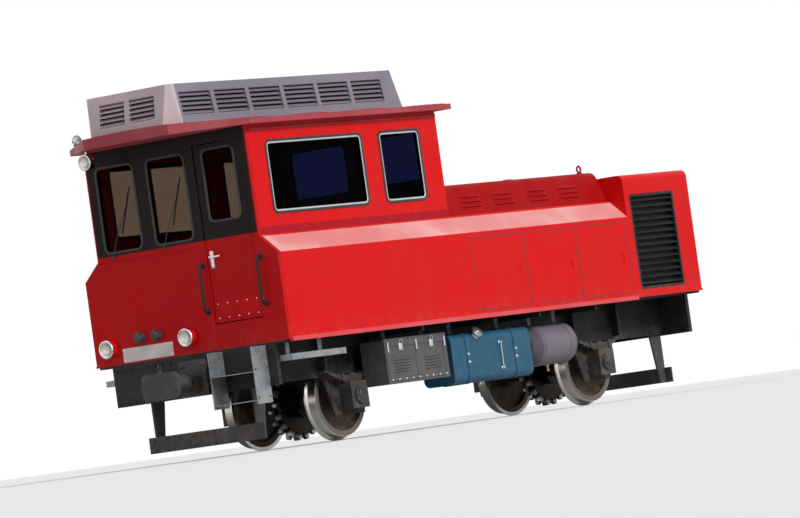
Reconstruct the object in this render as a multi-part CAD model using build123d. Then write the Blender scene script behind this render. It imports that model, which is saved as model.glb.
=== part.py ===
from build123d import *
from collections import namedtuple
from math import atan2, cos, degrees, pi, radians, sin, sqrt
import os

# A two-axle rack railway diesel locomotive for metre gauge.
# Millimetres. X runs along the locomotive, with the cab end at -X.
# -Y is the locomotive's left side. Z is up, from the lowest point of the wheel flanges.

# Body
BODY_LENGTH = 7000.0
BODY_WIDTH = 2500.0
BUFFER_REACH = 550.0
DECK_TOP = 1040.0
DECK_THICKNESS = 20.0
PANEL_THICKNESS = 40.0
SHOULDER_LOW = 1900.0
SHOULDER_HIGH = 2080.0
SHOULDER_INSET = 200.0
SHOULDER_LEDGE = 70.0
SIDE_LIP = 10.0
SIDE_LIP_HEIGHT = 40.0

# Cab
CAB_LENGTH = 3050.0
CAB_WALL = 50.0
CAB_FLOOR_TOP = 1290.0
CAB_FLOOR_THICKNESS = 40.0
FLOOR_BEARER = 40.0
FLOOR_BEARERS = 4
ROOF_EDGE_Z = 3170.0
ROOF_CROWN_RISE = 60.0
ROOF_THICKNESS = 55.0
ROOF_FRONT_OVERHANG = 550.0
ROOF_TIP_WIDTH = 1100.0
ROOF_CORNER_LEAD = 40.0
ROOF_REAR_OVERHANG = 120.0
ROOF_SIDE_OVERHANG = 130.0

# Cab windows
WINDOW_SILL_Z = 2290.0
WINDOW_TOP_Z = 3000.0
WINDSCREEN_SILL_Z = 2150.0
REAR_WINDOW_SILL_Z = 2500.0
WINDOW_CORNER = 60.0
SIDE_FRONT_JAMB = 290.0
SIDE_PILLAR = 280.0
SIDE_REAR_WIDTH = 660.0
SIDE_REAR_JAMB = 310.0
SCREEN_JAMB = 130.0
SCREEN_MULLION = 180.0
SCREEN_POST = 130.0
REAR_WINDOW_MULLION = 260.0
REAR_WINDOW_JAMB = 170.0
PANE_THICKNESS = 8.0
PANE_GAP = 0.3

# Front door
DOOR_LEDGE_GAP = 20.0
DOOR_WIDTH = 600.0
DOOR_TOP_Z = 3050.0
DOOR_THICKNESS = 40.0
DOOR_GAP = 10.0
DOOR_STILE = 100.0
HINGE_PIN_RADIUS = 9.0
HINGE_BARREL_RADIUS = 18.0
HINGE_STAND_OFF = 4.0
HINGE_LEAF = 60.0
HINGE_LEAF_THICKNESS = 28.0
HINGE_PLAY = 0.5
HINGE_LENGTH = 90.0
HINGE_LUG = 30.0
HINGE_LUG_GAP = 1.0
HINGE_LUG_REACH = 28.0
HINGE_END_MARGIN = 200.0
GRAB_RAIL_RADIUS = 14.0
GRAB_RAIL_STAND_OFF = 60.0
GRAB_RAIL_LOW_Z = 1420.0
GRAB_RAIL_HIGH_Z = 1880.0
GRAB_RAIL_FOOT_RADIUS = 12.0
GRAB_RAIL_OFFSET = 70.0

# Roof housing
POD_FRONT_INSET = 40.0
POD_REAR_INSET = 30.0
POD_WIDTH = 1200.0
POD_TOP_WIDTH = 1080.0
POD_HEIGHT = 440.0
POD_FRONT_LEAN = 60.0
POD_REAR_LEAN = 80.0
POD_CORNER = 150.0
POD_SIDE_BAYS = 6
POD_SIDE_MARGIN = 190.0
POD_POST = 60.0
POD_FRONT_BAYS = 2
POD_FRONT_MARGIN = 240.0
POD_BAY_HEIGHT = 230.0
POD_BAY_DEPTH = 45.0
POD_BAY_Z = 240.0
POD_SLATS = 5
POD_SLAT_THICKNESS = 6.0
POD_SLAT_TILT = 40.0

# Hood and radiator end
HOOD_TOP_Z = 2420.0
HOOD_TOP_WIDTH = 1800.0
HOOD_INSET = 30.0
HOOD_WALL = 30.0
HOOD_CORNER = 110.0
RADIATOR_LENGTH = 1170.0
RADIATOR_TOP_Z = 2340.0
RADIATOR_CORNER = 70.0
GRILLE_WIDTH = 800.0
GRILLE_HEIGHT = 1010.0
GRILLE_FRONT_MARGIN = 80.0
GRILLE_BOTTOM_Z = 1120.0
GRILLE_FRAME = 30.0
GRILLE_DEPTH = 40.0
LOUVRE_COUNT = 14
LOUVRE_THICKNESS = 6.0
LOUVRE_TILT = 35.0
CORE_DEPTH = 100.0
CORE_GAP = 20.0

# Cooling fan
FAN_RADIUS = 400.0
FAN_DUCT_WALL = 20.0
FAN_DUCT_DEPTH = 160.0
FAN_TIP_CLEARANCE = 12.0
FAN_FLOOR_CLEARANCE = 20.0
FAN_HUB_RADIUS = 90.0
FAN_HUB_HEIGHT = 80.0
FAN_BLADES = 8
FAN_BLADE_WIDTH = 120.0
FAN_BLADE_ROOT = 20.0
FAN_BLADE_THICKNESS = 8.0
FAN_BLADE_PITCH = 32.0
FAN_SHAFT_RADIUS = 25.0
CARRIER_HUB_RADIUS = 60.0
CARRIER_ARM = 50.0
GUARD_RING_WIDTH = 30.0
GUARD_RING_STEP = 95.0
GUARD_RINGS = 4
GUARD_WIRE = 12.0

# Wheelsets
WHEELBASE = 4200.0
WHEELBASE_SHIFT = 75.0
WHEEL_DIAMETER = 800.0
FLANGE_HEIGHT = 28.0
FLANGE_WIDTH = 30.0
FLANGE_TOP = 14.0
TREAD_TAPER = 4.0
TYRE_WIDTH = 120.0
TYRE_THICKNESS = 60.0
WHEEL_BACK_TO_BACK = 936.0
WHEEL_WEB = 28.0
WHEEL_HUB_RADIUS = 120.0
WHEEL_HUB_STAND = 15.0
AXLE_RADIUS = 75.0
JOURNAL_RADIUS = 55.0
JOURNAL_PLAY = 0.08

# Rack pinions, one toothed disc for each of the two rack bars
RACK_PITCH = 120.0
PINION_TEETH = 18
TOOTH_ADDENDUM = 30.0
TOOTH_DEDENDUM = 38.0
TOOTH_TIP_SHARE = 0.24
TOOTH_PITCH_SHARE = 0.50
TOOTH_ROOT_SHARE = 0.72
PINION_DISC_WIDTH = 45.0
PINION_DISC_SPACING = 70.0
PINION_HUB_RADIUS = 150.0
PINION_HUB_WIDTH = 260.0
PRESS_GAP = 0.2

# Frame
FRAME_PLATE = 30.0
FRAME_WHEEL_CLEARANCE = 72.0
FRAME_BOTTOM_Z = 640.0
PEDESTAL_BOTTOM_Z = 270.0
PEDESTAL_LEG = 110.0
PEDESTAL_TAPER = 120.0
PEDESTAL_HEADROOM = 60.0
KEEPER_THICKNESS = 25.0
BEAM_THICKNESS = 50.0
BEAM_INSET = 200.0
BEAM_BOTTOM_Z = 620.0
STRETCHER_HEIGHT = 150.0
STRETCHER_THICKNESS = 30.0
STRETCHER_PLACES = (-1350.0, -150.0, 620.0, 1600.0)
OUTRIGGER_HEIGHT = 50.0

# Axle boxes and leaf springs
BOX_LENGTH = 260.0
BOX_HEIGHT = 270.0
BOX_DEPTH = 200.0
BOX_INNER_STAND = 10.0
BOX_END_WALL = 30.0
JOURNAL_END_GAP = 5.0
COVER_RADIUS = 90.0
COVER_DEPTH = 25.0
SPRING_LEAVES = 5
LEAF_THICKNESS = 14.0
LEAF_WIDTH = 90.0
SPRING_SPAN = 860.0
SPRING_RISE = 70.0
SPRING_STAND_OFF = 5.0
BUCKLE_WALL = 4.0
BUCKLE_LENGTH = 100.0
BUCKLE_CAP = 15.0
SPRING_HANGER = 50.0
SPRING_HANGER_INSET = 40.0
HANGER_SEAT_GAP = 0.3

# Underframe equipment
EQUIPMENT_INSET = 130.0
BATTERY_GAP = 15.0
BATTERY_LENGTH = 1000.0
BATTERY_PLATE_GAP = 120.0
BATTERY_HEIGHT = 450.0
BATTERY_TOP_Z = 930.0
BATTERY_CORNER = 15.0
TANK_FRONT_GAP = 70.0
TANK_PLATE_GAP = 30.0
TANK_HEIGHT = 500.0
TANK_TOP_Z = 890.0
TANK_CORNER = 70.0
RESERVOIR_FRONT_GAP = 160.0
RESERVOIR_REAR_GAP = 645.0
RESERVOIR_LENGTH = 720.0
RESERVOIR_PLATE_GAP = 10.0
RESERVOIR_DOME = 70.0
RESERVOIR_CENTRE_Z = 680.0
HANGER_WIDTH = 60.0
HANGER_THICKNESS = 12.0
HANGER_LAP = 40.0
HANGER_PLACES = (0.2, 0.8)

# Buffers, guards and steps
BUFFER_Z = 760.0
BUFFER_HEAD_WIDTH = 460.0
BUFFER_HEAD_HEIGHT = 260.0
BUFFER_HEAD_THICKNESS = 40.0
BUFFER_HEAD_CORNER = 60.0
BUFFER_SHANK_RADIUS = 75.0
BUFFER_NECK_RADIUS = 110.0
BUFFER_NECK_LENGTH = 130.0
BUFFER_FOOT_SIZE = 340.0
BUFFER_FOOT_DROP = 140.0
BUFFER_FOOT_THICKNESS = 30.0
GUARD_BOTTOM_Z = 120.0
GUARD_HEIGHT = 160.0
GUARD_OUTREACH = 60.0
GUARD_PLATE = 16.0
GUARD_BRACKET = 20.0
GUARD_BRACKET_TOP = 260.0
GUARD_BRACKET_FOOT = 90.0
STEP_DEPTH = 230.0
STEP_WIDTH = 560.0
STEP_PLATE = 8.0
STEP_LOW_Z = 500.0
STEP_RISE = 280.0
STEP_TREADS = 2
STEP_CHEEK_DROP = 40.0
SIDE_STEP_FRONT = 60.0
SIDE_STEP_LENGTH = 840.0
SIDE_STEP_DEPTH = 200.0
SIDE_STEP_HEIGHT = 60.0
SIDE_STEP_TOP_Z = 900.0

# Engine and driver's place
ENGINE_LENGTH = 1700.0
ENGINE_WIDTH = 900.0
ENGINE_HEIGHT = 900.0
ENGINE_CHAMFER = 60.0
DESK_DEPTH = 420.0
DESK_WIDTH = 1100.0
DESK_HEIGHT = 800.0
DESK_SLOPE = 120.0
DESK_SIDE_GAP = 160.0
SEAT_DEPTH = 460.0
SEAT_WIDTH = 460.0
SEAT_CUSHION = 90.0
SEAT_BACK_HEIGHT = 480.0
SEAT_BACK = 80.0
SEAT_CORNER = 30.0
SEAT_TOP_ABOVE_FLOOR = 520.0
SEAT_BEHIND_DESK = 350.0
SEAT_PILLAR_RADIUS = 45.0
SEAT_FOOT_RADIUS = 180.0
SEAT_FOOT_HEIGHT = 30.0

# Lamps
LAMP_RADIUS = 90.0
LAMP_RIM = 12.0
LAMP_DEPTH = 70.0
LAMP_RECESS = 14.0
LAMP_FRONT_Z = 1210.0
LAMP_REAR_Z = 1330.0
LAMP_DOOR_GAP = 360.0
LAMP_EDGE_MARGIN = 210.0
LAMP_SIDE_MARGIN = 290.0
TOP_LAMP_OUT = 260.0
TOP_LAMP_SIDE_MARGIN = 290.0
TOP_LAMP_RADIUS = 80.0
TOP_LAMP_DROP = 25.0
LAMP_STEM = 20.0

# Air horn
HORN_LENGTH = 300.0
HORN_BELL_LENGTH = 120.0
HORN_BELL_DEPTH = 60.0
HORN_MOUTH = 65.0
HORN_THROAT = 18.0
HORN_RISE = 80.0
HORN_SIDE_MARGIN = 110.0
HORN_FOOT = 60.0

# How near an edge lies to the place that it is picked by
SAME_PLACE = 1.0

FRONT_X = -BODY_LENGTH / 2
REAR_X = BODY_LENGTH / 2
HALF_WIDTH = BODY_WIDTH / 2
PANEL_INNER_Y = HALF_WIDTH - PANEL_THICKNESS
DECK_BOTTOM = DECK_TOP - DECK_THICKNESS
LIP_TOP = DECK_BOTTOM + SIDE_LIP_HEIGHT
UPPER_Y = HALF_WIDTH - SHOULDER_INSET
UPPER_INNER_Y = UPPER_Y - CAB_WALL
LEDGE_INNER_Y = UPPER_Y - SHOULDER_LEDGE
CAB_INSIDE_X = FRONT_X + CAB_WALL
CAB_REAR_X = FRONT_X + CAB_LENGTH
RADIATOR_X = REAR_X - RADIATOR_LENGTH
WHEEL_RADIUS = WHEEL_DIAMETER / 2
AXLE_Z = WHEEL_RADIUS + FLANGE_HEIGHT
WHEEL_INNER_Y = WHEEL_BACK_TO_BACK / 2
WHEEL_OUTER_Y = WHEEL_INNER_Y + TYRE_WIDTH
FRAME_INNER_Y = WHEEL_OUTER_Y + FRAME_WHEEL_CLEARANCE
FRAME_OUTER_Y = FRAME_INNER_Y + FRAME_PLATE
BOX_INNER_Y = FRAME_INNER_Y - BOX_INNER_STAND
BOX_OUTER_Y = BOX_INNER_Y + BOX_DEPTH
BOX_TOP_Z = AXLE_Z + BOX_HEIGHT / 2
BORE_END_Y = BOX_OUTER_Y - BOX_END_WALL
JOURNAL_REACH = BORE_END_Y - JOURNAL_END_GAP
SPRING_Y = FRAME_OUTER_Y + SPRING_STAND_OFF + LEAF_WIDTH / 2
EQUIPMENT_OUTER_Y = HALF_WIDTH - EQUIPMENT_INSET
EQUIPMENT_ROOM = EQUIPMENT_OUTER_Y - FRAME_OUTER_Y
RESERVOIR_RADIUS = (EQUIPMENT_ROOM - RESERVOIR_PLATE_GAP) / 2
ROOF_HALF = UPPER_Y + ROOF_SIDE_OVERHANG
ROOF_TIP_X = FRONT_X - ROOF_FRONT_OVERHANG
ROOF_REAR_X = CAB_REAR_X + ROOF_REAR_OVERHANG
ROOF_TOP_Z = ROOF_EDGE_Z + ROOF_THICKNESS
DOOR_HINGE_Y = -(LEDGE_INNER_Y - DOOR_LEDGE_GAP)
DOOR_FREE_Y = DOOR_HINGE_Y + DOOR_WIDTH
DOOR_LOW_Z = CAB_FLOOR_TOP + DOOR_GAP
HINGE_X = CAB_INSIDE_X + HINGE_BARREL_RADIUS + HINGE_STAND_OFF
DUCT_LOW_Z = RADIATOR_TOP_Z - FAN_DUCT_DEPTH

Axle = namedtuple("Axle", "name x")
AXLES = [
    Axle("front", WHEELBASE_SHIFT - WHEELBASE / 2),
    Axle("rear", WHEELBASE_SHIFT + WHEELBASE / 2),
]
Side = namedtuple("Side", "name sign")
SIDES = [
    Side("left", -1),
    Side("right", 1),
]
End = namedtuple("End", "name sign")
ENDS = [
    End("front", -1),
    End("rear", 1),
]

BATTERY_X = AXLES[0].x + BOX_LENGTH / 2 + BATTERY_GAP
RESERVOIR_X = AXLES[1].x - BOX_LENGTH / 2 - RESERVOIR_REAR_GAP - RESERVOIR_LENGTH
TANK_X = BATTERY_X + BATTERY_LENGTH + TANK_FRONT_GAP
TANK_END_X = RESERVOIR_X - RESERVOIR_FRONT_GAP

# A window opening: start and end run along x on the sides and along y on the ends.
Opening = namedtuple("Opening", "start end sill top")
SIDE_PILLAR_X = CAB_REAR_X - SIDE_REAR_JAMB - SIDE_REAR_WIDTH
SIDE_WINDOWS = [
    Opening(FRONT_X + SIDE_FRONT_JAMB, SIDE_PILLAR_X - SIDE_PILLAR, WINDOW_SILL_Z, WINDOW_TOP_Z),
    Opening(SIDE_PILLAR_X, SIDE_PILLAR_X + SIDE_REAR_WIDTH, WINDOW_SILL_Z, WINDOW_TOP_Z),
]
SCREEN_START = DOOR_FREE_Y + SCREEN_POST
SCREEN_END = UPPER_Y - SCREEN_JAMB
SCREEN_MIDDLE = (SCREEN_START + SCREEN_END) / 2
WINDSCREENS = [
    Opening(SCREEN_START, SCREEN_MIDDLE - SCREEN_MULLION / 2, WINDSCREEN_SILL_Z, WINDOW_TOP_Z),
    Opening(SCREEN_MIDDLE + SCREEN_MULLION / 2, SCREEN_END, WINDSCREEN_SILL_Z, WINDOW_TOP_Z),
]
REAR_WINDOW_END = UPPER_Y - REAR_WINDOW_JAMB
REAR_WINDOWS = [
    Opening(-REAR_WINDOW_END, -REAR_WINDOW_MULLION / 2, REAR_WINDOW_SILL_Z, WINDOW_TOP_Z),
    Opening(REAR_WINDOW_MULLION / 2, REAR_WINDOW_END, REAR_WINDOW_SILL_Z, WINDOW_TOP_Z),
]
DOOR_WINDOWS = [
    Opening(DOOR_HINGE_Y + DOOR_STILE, DOOR_FREE_Y - DOOR_STILE, WINDOW_SILL_Z, WINDOW_TOP_Z),
]


# Plain helpers

def block(x0, x1, y0, y1, z0, z1):
    """A box between two corners."""
    size = (abs(x1 - x0), abs(y1 - y0), abs(z1 - z0))
    middle = ((x0 + x1) / 2, (y0 + y1) / 2, (z0 + z1) / 2)
    return Pos(*middle) * Box(*size)


def cylinder(axis, centre, radius, length):
    """A cylinder about the named axis with its middle at the centre."""
    turns = {"x": (0, 90, 0), "y": (90, 0, 0), "z": (0, 0, 0)}
    return Pos(*centre) * Rot(*turns[axis]) * Cylinder(radius, length)


def section_along_x(points, x0, x1):
    """A profile of (y, z) points carried along x."""
    plane = Plane(origin=(x0, 0, 0), x_dir=(0, 1, 0), z_dir=(1, 0, 0))
    face = plane * Polygon(*points, align=None)
    return extrude(face, amount=x1 - x0, dir=(1, 0, 0))


def section_along_y(points, y0, y1):
    """A profile of (x, z) points carried along y."""
    plane = Plane(origin=(0, y0, 0), x_dir=(1, 0, 0), z_dir=(0, -1, 0))
    face = plane * Polygon(*points, align=None)
    return extrude(face, amount=y1 - y0, dir=(0, 1, 0))


def section_along_z(points, z0, z1):
    """A plan outline of (x, y) points carried along z."""
    face = Plane(origin=(0, 0, z0)) * Polygon(*points, align=None)
    return extrude(face, amount=z1 - z0, dir=(0, 0, 1))


def mirror_y(solid):
    """The same piece on the other side of the locomotive."""
    return mirror(solid, about=Plane.XZ)


def at_end(solid, end):
    """A piece drawn at the rear, put at the end that is asked for."""
    return solid if end.sign > 0 else mirror(solid, about=Plane.YZ)


def top_edges(solid, axis, height):
    """The edges along one axis that lie at a height."""
    return [edge for edge in solid.edges().filter_by(axis) if abs(edge.center().Z - height) < SAME_PLACE]


# Windows

def rounded_prism(axis, low, high, opening, gap=0.0):
    """A window outline with rounded corners, carried from low to high through a wall."""
    width = opening.end - opening.start - 2 * gap
    height = opening.top - opening.sill - 2 * gap
    outline = RectangleRounded(width, height, WINDOW_CORNER - gap)
    along = (opening.start + opening.end) / 2
    up = (opening.sill + opening.top) / 2
    if axis == "x":
        plane = Plane(origin=(low, along, up), x_dir=(0, 1, 0), z_dir=(1, 0, 0))
        way = (1, 0, 0)
    else:
        plane = Plane(origin=(along, low, up), x_dir=(1, 0, 0), z_dir=(0, -1, 0))
        way = (0, 1, 0)
    return extrude(plane * outline, amount=high - low, dir=way)


def cut_windows(wall, axis, low, high, openings):
    """A wall with its window openings cut through."""
    for opening in openings:
        wall -= rounded_prism(axis, low, high, opening)
    return wall


def panes(axis, middle, openings):
    """The glass of a row of windows, standing in the middle of the wall."""
    low = middle - PANE_THICKNESS / 2
    high = middle + PANE_THICKNESS / 2
    return [rounded_prism(axis, low, high, opening, PANE_GAP) for opening in openings]


def cab_glass():
    """The cab's fixed panes: windscreens, rear windows and side windows."""
    front = panes("x", FRONT_X + CAB_WALL / 2, WINDSCREENS)
    rear = panes("x", CAB_REAR_X - CAB_WALL / 2, REAR_WINDOWS)
    left = panes("y", -UPPER_Y + CAB_WALL / 2, SIDE_WINDOWS)
    right = [mirror_y(pane) for pane in left]
    return Compound(front + rear + left + right)


# Wheelsets

def wheel_profile(side):
    """Half section of a wheel as (radius, y) points, from the axle out to the tread."""
    inner = WHEEL_INNER_Y
    outer = WHEEL_OUTER_Y
    rim = WHEEL_RADIUS - TYRE_THICKNESS
    web_in = (inner + outer) / 2 - WHEEL_WEB / 2
    web_out = web_in + WHEEL_WEB
    top = WHEEL_RADIUS + FLANGE_HEIGHT
    points = [
        (0.0, inner - WHEEL_HUB_STAND),
        (WHEEL_HUB_RADIUS, inner - WHEEL_HUB_STAND),
        (WHEEL_HUB_RADIUS, web_in),
        (rim, web_in),
        (rim, inner),
        (top, inner),
        (top, inner + FLANGE_TOP),
        (WHEEL_RADIUS, inner + FLANGE_WIDTH),
        (WHEEL_RADIUS - TREAD_TAPER, outer),
        (rim, outer),
        (rim, web_out),
        (WHEEL_HUB_RADIUS, web_out),
        (WHEEL_HUB_RADIUS, outer + WHEEL_HUB_STAND),
        (0.0, outer + WHEEL_HUB_STAND),
    ]
    return [(radius, y * side.sign) for radius, y in points]


def wheelset(axle):
    """An axle with its two wheels pressed on, as one rigid piece."""
    solid = cylinder("y", (0, 0, 0), AXLE_RADIUS, 2 * (WHEEL_OUTER_Y + 2 * WHEEL_HUB_STAND))
    solid += cylinder("y", (0, 0, 0), JOURNAL_RADIUS, 2 * JOURNAL_REACH)
    for side in SIDES:
        face = Polygon(*wheel_profile(side), align=None)
        solid += revolve(face, axis=Axis.Y)
    return Pos(axle.x, 0, AXLE_Z) * solid


def pinion_outline(turn):
    """The closed outline of a toothed disc in its own plane."""
    pitch_radius = PINION_TEETH * RACK_PITCH / (2 * pi)
    tip = pitch_radius + TOOTH_ADDENDUM
    root = pitch_radius - TOOTH_DEDENDUM
    step = 2 * pi / PINION_TEETH
    flank = [(root, TOOTH_ROOT_SHARE), (pitch_radius, TOOTH_PITCH_SHARE), (tip, TOOTH_TIP_SHARE)]
    rising = [(radius, -share) for radius, share in flank]
    falling = list(reversed(flank))
    points = []
    for tooth in range(PINION_TEETH):
        middle = tooth * step + turn
        for radius, share in rising + falling:
            angle = middle + share * step / 2
            points.append((radius * cos(angle), radius * sin(angle)))
    return points


def rack_pinion(axle):
    """Two toothed discs on one hub, turned half a tooth from each other."""
    solid = cylinder("y", (0, 0, 0), PINION_HUB_RADIUS, PINION_HUB_WIDTH)
    half_tooth = pi / PINION_TEETH
    for side in SIDES:
        turn = half_tooth if side.sign > 0 else 0.0
        y0 = side.sign * PINION_DISC_SPACING / 2 - PINION_DISC_WIDTH / 2
        solid += section_along_y(pinion_outline(turn), y0, y0 + PINION_DISC_WIDTH)
    solid -= cylinder("y", (0, 0, 0), AXLE_RADIUS + PRESS_GAP, 2 * PINION_HUB_WIDTH)
    return Pos(axle.x, 0, AXLE_Z) * solid


# Axle boxes and springs

def axle_box(axle, side):
    """A bearing box round the journal, with a round cover on its outer face."""
    half = BOX_LENGTH / 2
    solid = block(-half, half, BOX_INNER_Y, BOX_OUTER_Y, -BOX_HEIGHT / 2, BOX_HEIGHT / 2)
    solid += cylinder("y", (0, BOX_OUTER_Y + COVER_DEPTH / 2, 0), COVER_RADIUS, COVER_DEPTH)
    bore_start = BOX_INNER_Y - BOX_INNER_STAND
    bore_middle = (BORE_END_Y + bore_start) / 2
    solid -= cylinder("y", (0, bore_middle, 0), JOURNAL_RADIUS + JOURNAL_PLAY, BORE_END_Y - bore_start)
    solid = Pos(axle.x, 0, AXLE_Z) * solid
    return solid if side.sign > 0 else mirror_y(solid)


def spring_radius():
    """The radius of the lowest leaf's lower face, from the span and the rise of the spring."""
    half_span = SPRING_SPAN / 2
    return (half_span ** 2 + SPRING_RISE ** 2) / (2 * SPRING_RISE)


def spring_top(x):
    """The height of the top leaf's upper face at a distance from the middle."""
    radius = spring_radius()
    top_radius = radius - SPRING_LEAVES * LEAF_THICKNESS
    return BOX_TOP_Z + radius - sqrt(top_radius ** 2 - x ** 2)


def leaf_spring(axle, side):
    """A stack of curved leaves, the longest on top, held by a buckle on the axle box."""
    half_span = SPRING_SPAN / 2
    radius = spring_radius()
    centre = (0, 0, BOX_TOP_Z + radius)
    solid = None
    for leaf in range(SPRING_LEAVES):
        outer = radius - leaf * LEAF_THICKNESS
        ring = cylinder("y", centre, outer, LEAF_WIDTH)
        ring -= cylinder("y", centre, outer - LEAF_THICKNESS, 2 * LEAF_WIDTH)
        reach = half_span * (leaf + 2) / (SPRING_LEAVES + 1)
        low = BOX_TOP_Z - LEAF_THICKNESS
        window = block(-reach, reach, -LEAF_WIDTH, LEAF_WIDTH, low, low + 3 * SPRING_RISE)
        strip = ring & window
        solid = strip if solid is None else solid + strip
    buckle_y = LEAF_WIDTH / 2 + BUCKLE_WALL
    buckle_top = BOX_TOP_Z + SPRING_LEAVES * LEAF_THICKNESS + BUCKLE_CAP
    solid += block(-BUCKLE_LENGTH / 2, BUCKLE_LENGTH / 2, -buckle_y, buckle_y, BOX_TOP_Z, buckle_top)
    return Pos(axle.x, side.sign * SPRING_Y, 0) * solid


# Frame

def deck():
    """The deck plate with the stretchers between the side plates and outriggers beyond them."""
    solid = block(FRONT_X, REAR_X, -PANEL_INNER_Y, PANEL_INNER_Y, DECK_BOTTOM, DECK_TOP)
    for x in STRETCHER_PLACES:
        x1 = x + STRETCHER_THICKNESS
        stretcher_low = DECK_BOTTOM - STRETCHER_HEIGHT
        solid += block(x, x1, -FRAME_INNER_Y, FRAME_INNER_Y, stretcher_low, DECK_BOTTOM)
        for side in SIDES:
            y0 = side.sign * FRAME_OUTER_Y
            y1 = side.sign * PANEL_INNER_Y
            solid += block(x, x1, y0, y1, DECK_BOTTOM - OUTRIGGER_HEIGHT, DECK_BOTTOM)
    return solid


def frame_plate_outline():
    """The side plate's outline as (x, z) points, with a tapered pedestal at each axle."""
    half = BOX_LENGTH / 2 + PEDESTAL_LEG
    low = [(FRONT_X + BEAM_THICKNESS, FRAME_BOTTOM_Z)]
    for axle in AXLES:
        low += [
            (axle.x - half - PEDESTAL_TAPER, FRAME_BOTTOM_Z),
            (axle.x - half, PEDESTAL_BOTTOM_Z),
            (axle.x + half, PEDESTAL_BOTTOM_Z),
            (axle.x + half + PEDESTAL_TAPER, FRAME_BOTTOM_Z),
        ]
    low.append((REAR_X - BEAM_THICKNESS, FRAME_BOTTOM_Z))
    high = [(REAR_X - BEAM_THICKNESS, DECK_BOTTOM), (FRONT_X + BEAM_THICKNESS, DECK_BOTTOM)]
    return low + high


def frame_plate():
    """The left side plate with its horn gaps, keepers and spring hangers."""
    y_in = -FRAME_INNER_Y
    y_out = -FRAME_OUTER_Y
    solid = section_along_y(frame_plate_outline(), y_out, y_in)
    slot = BOX_LENGTH / 2
    leg = slot + PEDESTAL_LEG
    keeper_low = PEDESTAL_BOTTOM_Z - KEEPER_THICKNESS
    keeper_top = AXLE_Z - BOX_HEIGHT / 2
    hanger_x = SPRING_SPAN / 2 - SPRING_HANGER_INSET
    hanger_low = spring_top(hanger_x + SPRING_HANGER / 2) + HANGER_SEAT_GAP
    hanger_out = -(SPRING_Y + LEAF_WIDTH / 2)
    for axle in AXLES:
        slot_top = BOX_TOP_Z + PEDESTAL_HEADROOM
        solid -= block(axle.x - slot, axle.x + slot, y_out, y_in, PEDESTAL_BOTTOM_Z, slot_top)
        solid += block(axle.x - slot, axle.x + slot, y_out, y_in, keeper_low, keeper_top)
        solid += block(axle.x - leg, axle.x + leg, y_out, y_in, keeper_low, PEDESTAL_BOTTOM_Z)
        for end in ENDS:
            x = axle.x + end.sign * hanger_x
            half = SPRING_HANGER / 2
            solid += block(x - half, x + half, y_out, hanger_out, hanger_low, DECK_BOTTOM)
    return solid


def end_beam(end):
    """The beam across the frame's end that carries the centre buffer."""
    half = HALF_WIDTH - BEAM_INSET
    solid = block(REAR_X - BEAM_THICKNESS, REAR_X, -half, half, BEAM_BOTTOM_Z, DECK_BOTTOM)
    return at_end(solid, end)


def centre_buffer(end):
    """The central buffer with a foot plate, a neck, a shank and a rounded head."""
    face_x = REAR_X + BUFFER_REACH
    head_back = face_x - BUFFER_HEAD_THICKNESS
    head = block(head_back, face_x, -BUFFER_HEAD_WIDTH / 2, BUFFER_HEAD_WIDTH / 2,
                 BUFFER_Z - BUFFER_HEAD_HEIGHT / 2, BUFFER_Z + BUFFER_HEAD_HEIGHT / 2)
    head = fillet(head.edges().filter_by(Axis.X), BUFFER_HEAD_CORNER)
    shank_length = head_back - REAR_X
    shank = cylinder("x", (REAR_X + shank_length / 2, 0, BUFFER_Z), BUFFER_SHANK_RADIUS, shank_length)
    neck_middle = REAR_X + BUFFER_NECK_LENGTH / 2
    neck = cylinder("x", (neck_middle, 0, BUFFER_Z), BUFFER_NECK_RADIUS, BUFFER_NECK_LENGTH)
    half = BUFFER_FOOT_SIZE / 2
    foot_x = REAR_X + BUFFER_FOOT_THICKNESS
    foot = block(REAR_X, foot_x, -half, half, BUFFER_Z - BUFFER_FOOT_DROP, DECK_BOTTOM - HANGER_LAP)
    return at_end(head + shank + neck + foot, end)


def rail_guard(end):
    """The guard plate across the rails, hung from the frame by two brackets."""
    x_out = REAR_X - BEAM_THICKNESS
    half = FRAME_OUTER_Y + GUARD_OUTREACH
    solid = block(x_out - GUARD_PLATE, x_out, -half, half, GUARD_BOTTOM_Z, GUARD_BOTTOM_Z + GUARD_HEIGHT)
    points = [
        (x_out - GUARD_BRACKET_TOP, DECK_BOTTOM),
        (x_out, DECK_BOTTOM),
        (x_out, GUARD_BOTTOM_Z),
        (x_out - GUARD_PLATE - GUARD_BRACKET_FOOT, GUARD_BOTTOM_Z),
    ]
    for side in SIDES:
        outer = side.sign * FRAME_INNER_Y
        inner = outer - side.sign * GUARD_BRACKET
        solid += section_along_y(points, min(outer, inner), max(outer, inner))
    return at_end(solid, end)


# Underframe equipment

def hangers(x0, x1, y_in, top):
    """Two flat hangers that reach from a piece of equipment up to the deck."""
    solid = None
    for place in HANGER_PLACES:
        x = x0 + place * (x1 - x0)
        strap = block(x - HANGER_WIDTH / 2, x + HANGER_WIDTH / 2, y_in, y_in + HANGER_THICKNESS,
                      top - HANGER_LAP, DECK_BOTTOM)
        solid = strap if solid is None else solid + strap
    return solid


def battery_box():
    """The battery box below the deck."""
    x1 = BATTERY_X + BATTERY_LENGTH
    y0 = -EQUIPMENT_OUTER_Y
    y1 = y0 + EQUIPMENT_ROOM - BATTERY_PLATE_GAP
    solid = block(BATTERY_X, x1, y0, y1, BATTERY_TOP_Z - BATTERY_HEIGHT, BATTERY_TOP_Z)
    solid = fillet(solid.edges().filter_by(Axis.Y), BATTERY_CORNER)
    return solid + hangers(BATTERY_X, x1, (y0 + y1) / 2, BATTERY_TOP_Z)


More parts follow.
